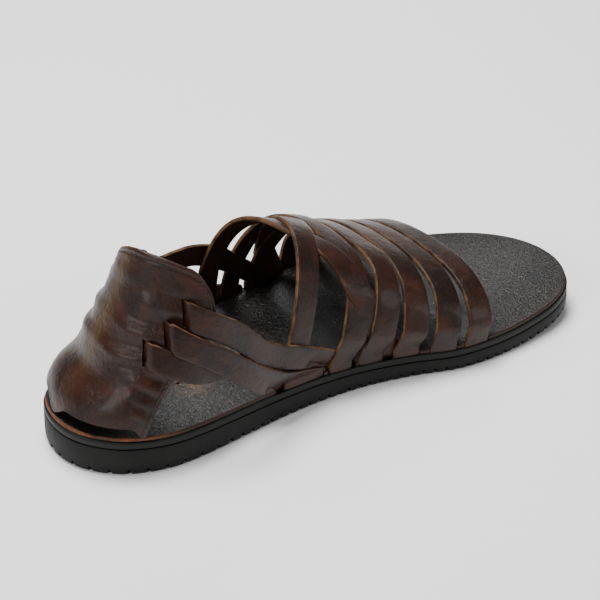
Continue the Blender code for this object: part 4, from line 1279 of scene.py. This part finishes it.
def stitch_counter(face, outward, below_rim, from_front, turns):
    """A row of stitches a little in from the rim and the front edges."""
    path, normals = [], []
    rows, columns = below_rim.shape
    inset_j = [int(np.argmin(np.abs(below_rim[:, i] - STITCH_INSET))) for i in range(columns)]
    start_i = int(np.argmin(np.abs(from_front[rows // 2, :columns // 2] - STITCH_INSET)))
    end_i = columns - 1 - int(np.argmin(np.abs(from_front[rows // 2, ::-1][:columns // 2] - STITCH_INSET)))
    front_top = inset_j[start_i]
    for j in range(1, front_top):
        path.append(face[j, start_i])
        normals.append(outward[j, start_i])
    for i in range(start_i, end_i + 1):
        path.append(face[inset_j[i], i])
        normals.append(outward[inset_j[i], i])
    for j in range(front_top - 1, 0, -1):
        path.append(face[j, end_i])
        normals.append(outward[j, end_i])
    path, normals = np.array(path), np.array(normals)
    travel = np.concatenate([[0.0], np.cumsum(np.linalg.norm(np.diff(path, axis=0), axis=1))])
    stitches = []
    at = STITCH_PITCH * 0.7
    while at < travel[-1] - STITCH_PITCH:
        ends = [np.array([np.interp(t, travel, path[:, k]) for k in range(3)])
                for t in (at, at + STITCH_PITCH * STITCH_SHARE)]
        lift = np.array([np.interp(at, travel, normals[:, k]) for k in range(3)])
        stitches.append((ends[0], ends[1], lift / np.linalg.norm(lift)))
        at += STITCH_PITCH
    dress(stitch_mesh("counter_stitching", stitches), "upper_leather")


# A stitch from end to end: share of its length, rise and thickness as shares of its radius
STITCH_FORM = [(0.0, -0.55, 0.35), (0.14, 0.10, 0.9), (0.5, 0.40, 1.0), (0.86, 0.10, 0.9), (1.0, -0.55, 0.35)]


def stitch_mesh(name, stitches, radius=STITCH_RADIUS):
    """Short plump stitches, each with its two ends pulled into the leather."""
    vertices, faces = [], []
    for start, end, lift in stitches:
        line = end - start
        across = np.cross(line / np.linalg.norm(line), lift)
        base = len(vertices)
        for share, rise, size in STITCH_FORM:
            centre = start + line * share + lift * (rise * radius)
            for k in range(6):
                angle = 2.0 * math.pi * k / 6
                spoke = across * math.cos(angle) + lift * math.sin(angle) * 0.8
                vertices.append(centre + spoke * radius * size)
        for s in range(len(STITCH_FORM) - 1):
            for k in range(6):
                a, b = base + 6 * s + k, base + 6 * s + (k + 1) % 6
                faces.append((a, b, b + 6, a + 6))
        faces.append(tuple(base + k for k in reversed(range(6))))
        faces.append(tuple(base + 6 * (len(STITCH_FORM) - 1) + k for k in range(6)))
    return add_mesh(name, vertices, faces, [THREAD], sharp=80.0)


# Midsole and insole
SLOTS = [(0.0262, -0.0035), (0.0306, 0.0030)]
SLOT_TURN = 0.30
SLOT_HALF_LENGTH = 0.0028
SLOT_HALF_WIDTH = 0.00065
SLOT_DEPTH = 0.0012


def strap_ends():
    """Every strap end: place along the sole, side, distance in from the edge and width."""
    ends = []
    for row in CROSS_STRAPS:
        ends.append((row["inner"], -1, row["ends"][0], STRAP_WIDTH))
        ends.append((row["outer"], 1, row["ends"][1], STRAP_WIDTH))
    for foot in (row["foot"] for row in HEEL_STRAPS if row["foot"]):
        for side in (-1, 1):
            ends.append((foot["along"], side, foot["inset"], foot["width"]))
    return ends


def make_midsole_and_insole():
    """The two upper layers of the sole, with the pockets and notches of the straps."""
    edge = SoleEdge(300)

    def high(function, offset):
        return lambda i, p: function(p[0]) + offset

    midsole = sole_piece("midsole_layer", edge, [
        (MIDSOLE_INSET + 0.0006, high(midsole_bottom, 0.0)), (MIDSOLE_INSET, high(midsole_bottom, 0.0005)),
        (MIDSOLE_INSET, high(stack_top, -0.0007)), (MIDSOLE_INSET + 0.0002, high(stack_top, -0.0002)),
        (MIDSOLE_INSET + 0.0007, high(stack_top, 0.0))], 1, None, None, [MIDSOLE_RUBBER], sharp=60.0)
    insole = sole_piece("insole_leather", edge, [
        (INSOLE_INSET, high(insole_bottom, 0.0)), (INSOLE_INSET, high(insole_top, -0.0005)),
        (INSOLE_INSET + 0.0002, high(insole_top, -0.00015)), (INSOLE_INSET + 0.0007, high(insole_top, 0.0))],
        1, None, None, [INSOLE, INSOLE_EDGE], side_slot=1, sharp=60.0)
    for along, side, inset, width in strap_ends():
        here, outward, forward = edge_point(along, side)
        half = forward * (width / 2.0 + GAP)
        top = Vector((0.0, 0.0, stack_top(here.x)))
        for thing, mouth, reach, tall, material in (
                (midsole, -MIDSOLE_LIP, inset + TONGUE_LENGTH + GAP, STRAP_THICKNESS + 2.0 * SEAT_GAP,
                 MIDSOLE_RUBBER),
                (insole, POCKET_REACH, inset + STRAP_THICKNESS / 2.0 + GAP, INSOLE_THICKNESS * 3.0,
                 INSOLE_EDGE)):
            centre = here + outward * ((mouth - reach) / 2.0) + top
            depth = outward * ((mouth + reach) / 2.0)
            cut(thing, block(centre, half, depth, Vector((0.0, 0.0, tall)), material))
    line = Vector((math.cos(SLOT_TURN), math.sin(SLOT_TURN), 0.0))
    across = Vector((-line.y, line.x, 0.0))
    for x, y in SLOTS:
        cut(insole, block(Vector((x, y, insole_top(x))), line * SLOT_HALF_LENGTH, across * SLOT_HALF_WIDTH,
                          Vector((0.0, 0.0, SLOT_DEPTH)), INSOLE_EDGE))
    shade(midsole, 60.0)
    shade(insole, 60.0)
    dress(midsole, "rubber", "midsole")
    dress(insole, "insole_leather", "insole")


# Stage, light and camera
FLOOR_HALF = 6.0
FLOOR_DROP = 0.0001


def make_floor():
    """A wide white board, a hair under the shoe."""
    floor = add_mesh("studio_floor", [(x * FLOOR_HALF, y * FLOOR_HALF, 0) for x, y in
                                      ((-1, -1), (1, -1), (1, 1), (-1, 1))], [(0, 1, 2, 3)], [BOARD])
    floor.location.z = -FLOOR_DROP


def add_light(name, place, target, size, power):
    light = bpy.data.lights.new(name, "AREA")
    light.shape = "RECTANGLE"
    light.size, light.size_y = size
    light.energy = power
    thing = bpy.data.objects.new(name, light)
    bpy.context.scene.collection.objects.link(thing)
    thing.location = place
    thing.rotation_mode = "QUATERNION"
    thing.rotation_quaternion = (Vector(target) - Vector(place)).to_track_quat("-Z", "Y")


def make_light():
    """A white room with three soft boxes and a fill light."""
    world = bpy.data.worlds.new("soft_white_room")
    world.use_nodes = True
    background = world.node_tree.nodes["Background"]
    background.inputs["Color"].default_value = (1.0, 1.0, 1.0, 1.0)
    background.inputs["Strength"].default_value = 0.16
    bpy.context.scene.world = world
    aim = (0.09, 0.01, 0.03)
    add_light("overhead_softbox", (0.00, 0.30, 1.4), aim, (0.7, 0.7), 36.0)
    add_light("back_softbox", (0.70, 1.15, 0.90), aim, (0.6, 0.5), 5.0)
    add_light("left_softbox", (-1.1, -0.5, 0.8), aim, (0.5, 0.6), 9.0)
    add_light("right_fill", (1.0, -1.1, 0.7), aim, (0.5, 0.5), 5.0)


def make_camera():
    """The photo's camera place, turned to the one shoe."""
    data = bpy.data.cameras.new("photo_camera")
    data.lens = 122.0
    data.sensor_width = 36.0
    data.clip_start, data.clip_end = 0.05, 20.0
    camera = bpy.data.objects.new("photo_camera", data)
    bpy.context.scene.collection.objects.link(camera)
    camera.location = (-0.3123, -0.7230, 0.5821)
    target = Vector((0.098, 0.008, 0.036))
    camera.rotation_mode = "QUATERNION"
    camera.rotation_quaternion = (target - camera.location).to_track_quat("-Z", "Y")
    bpy.context.scene.camera = camera


make_outsole()
make_midsole_and_insole()
make_straps()
make_counter()
make_floor()
make_light()
make_camera()
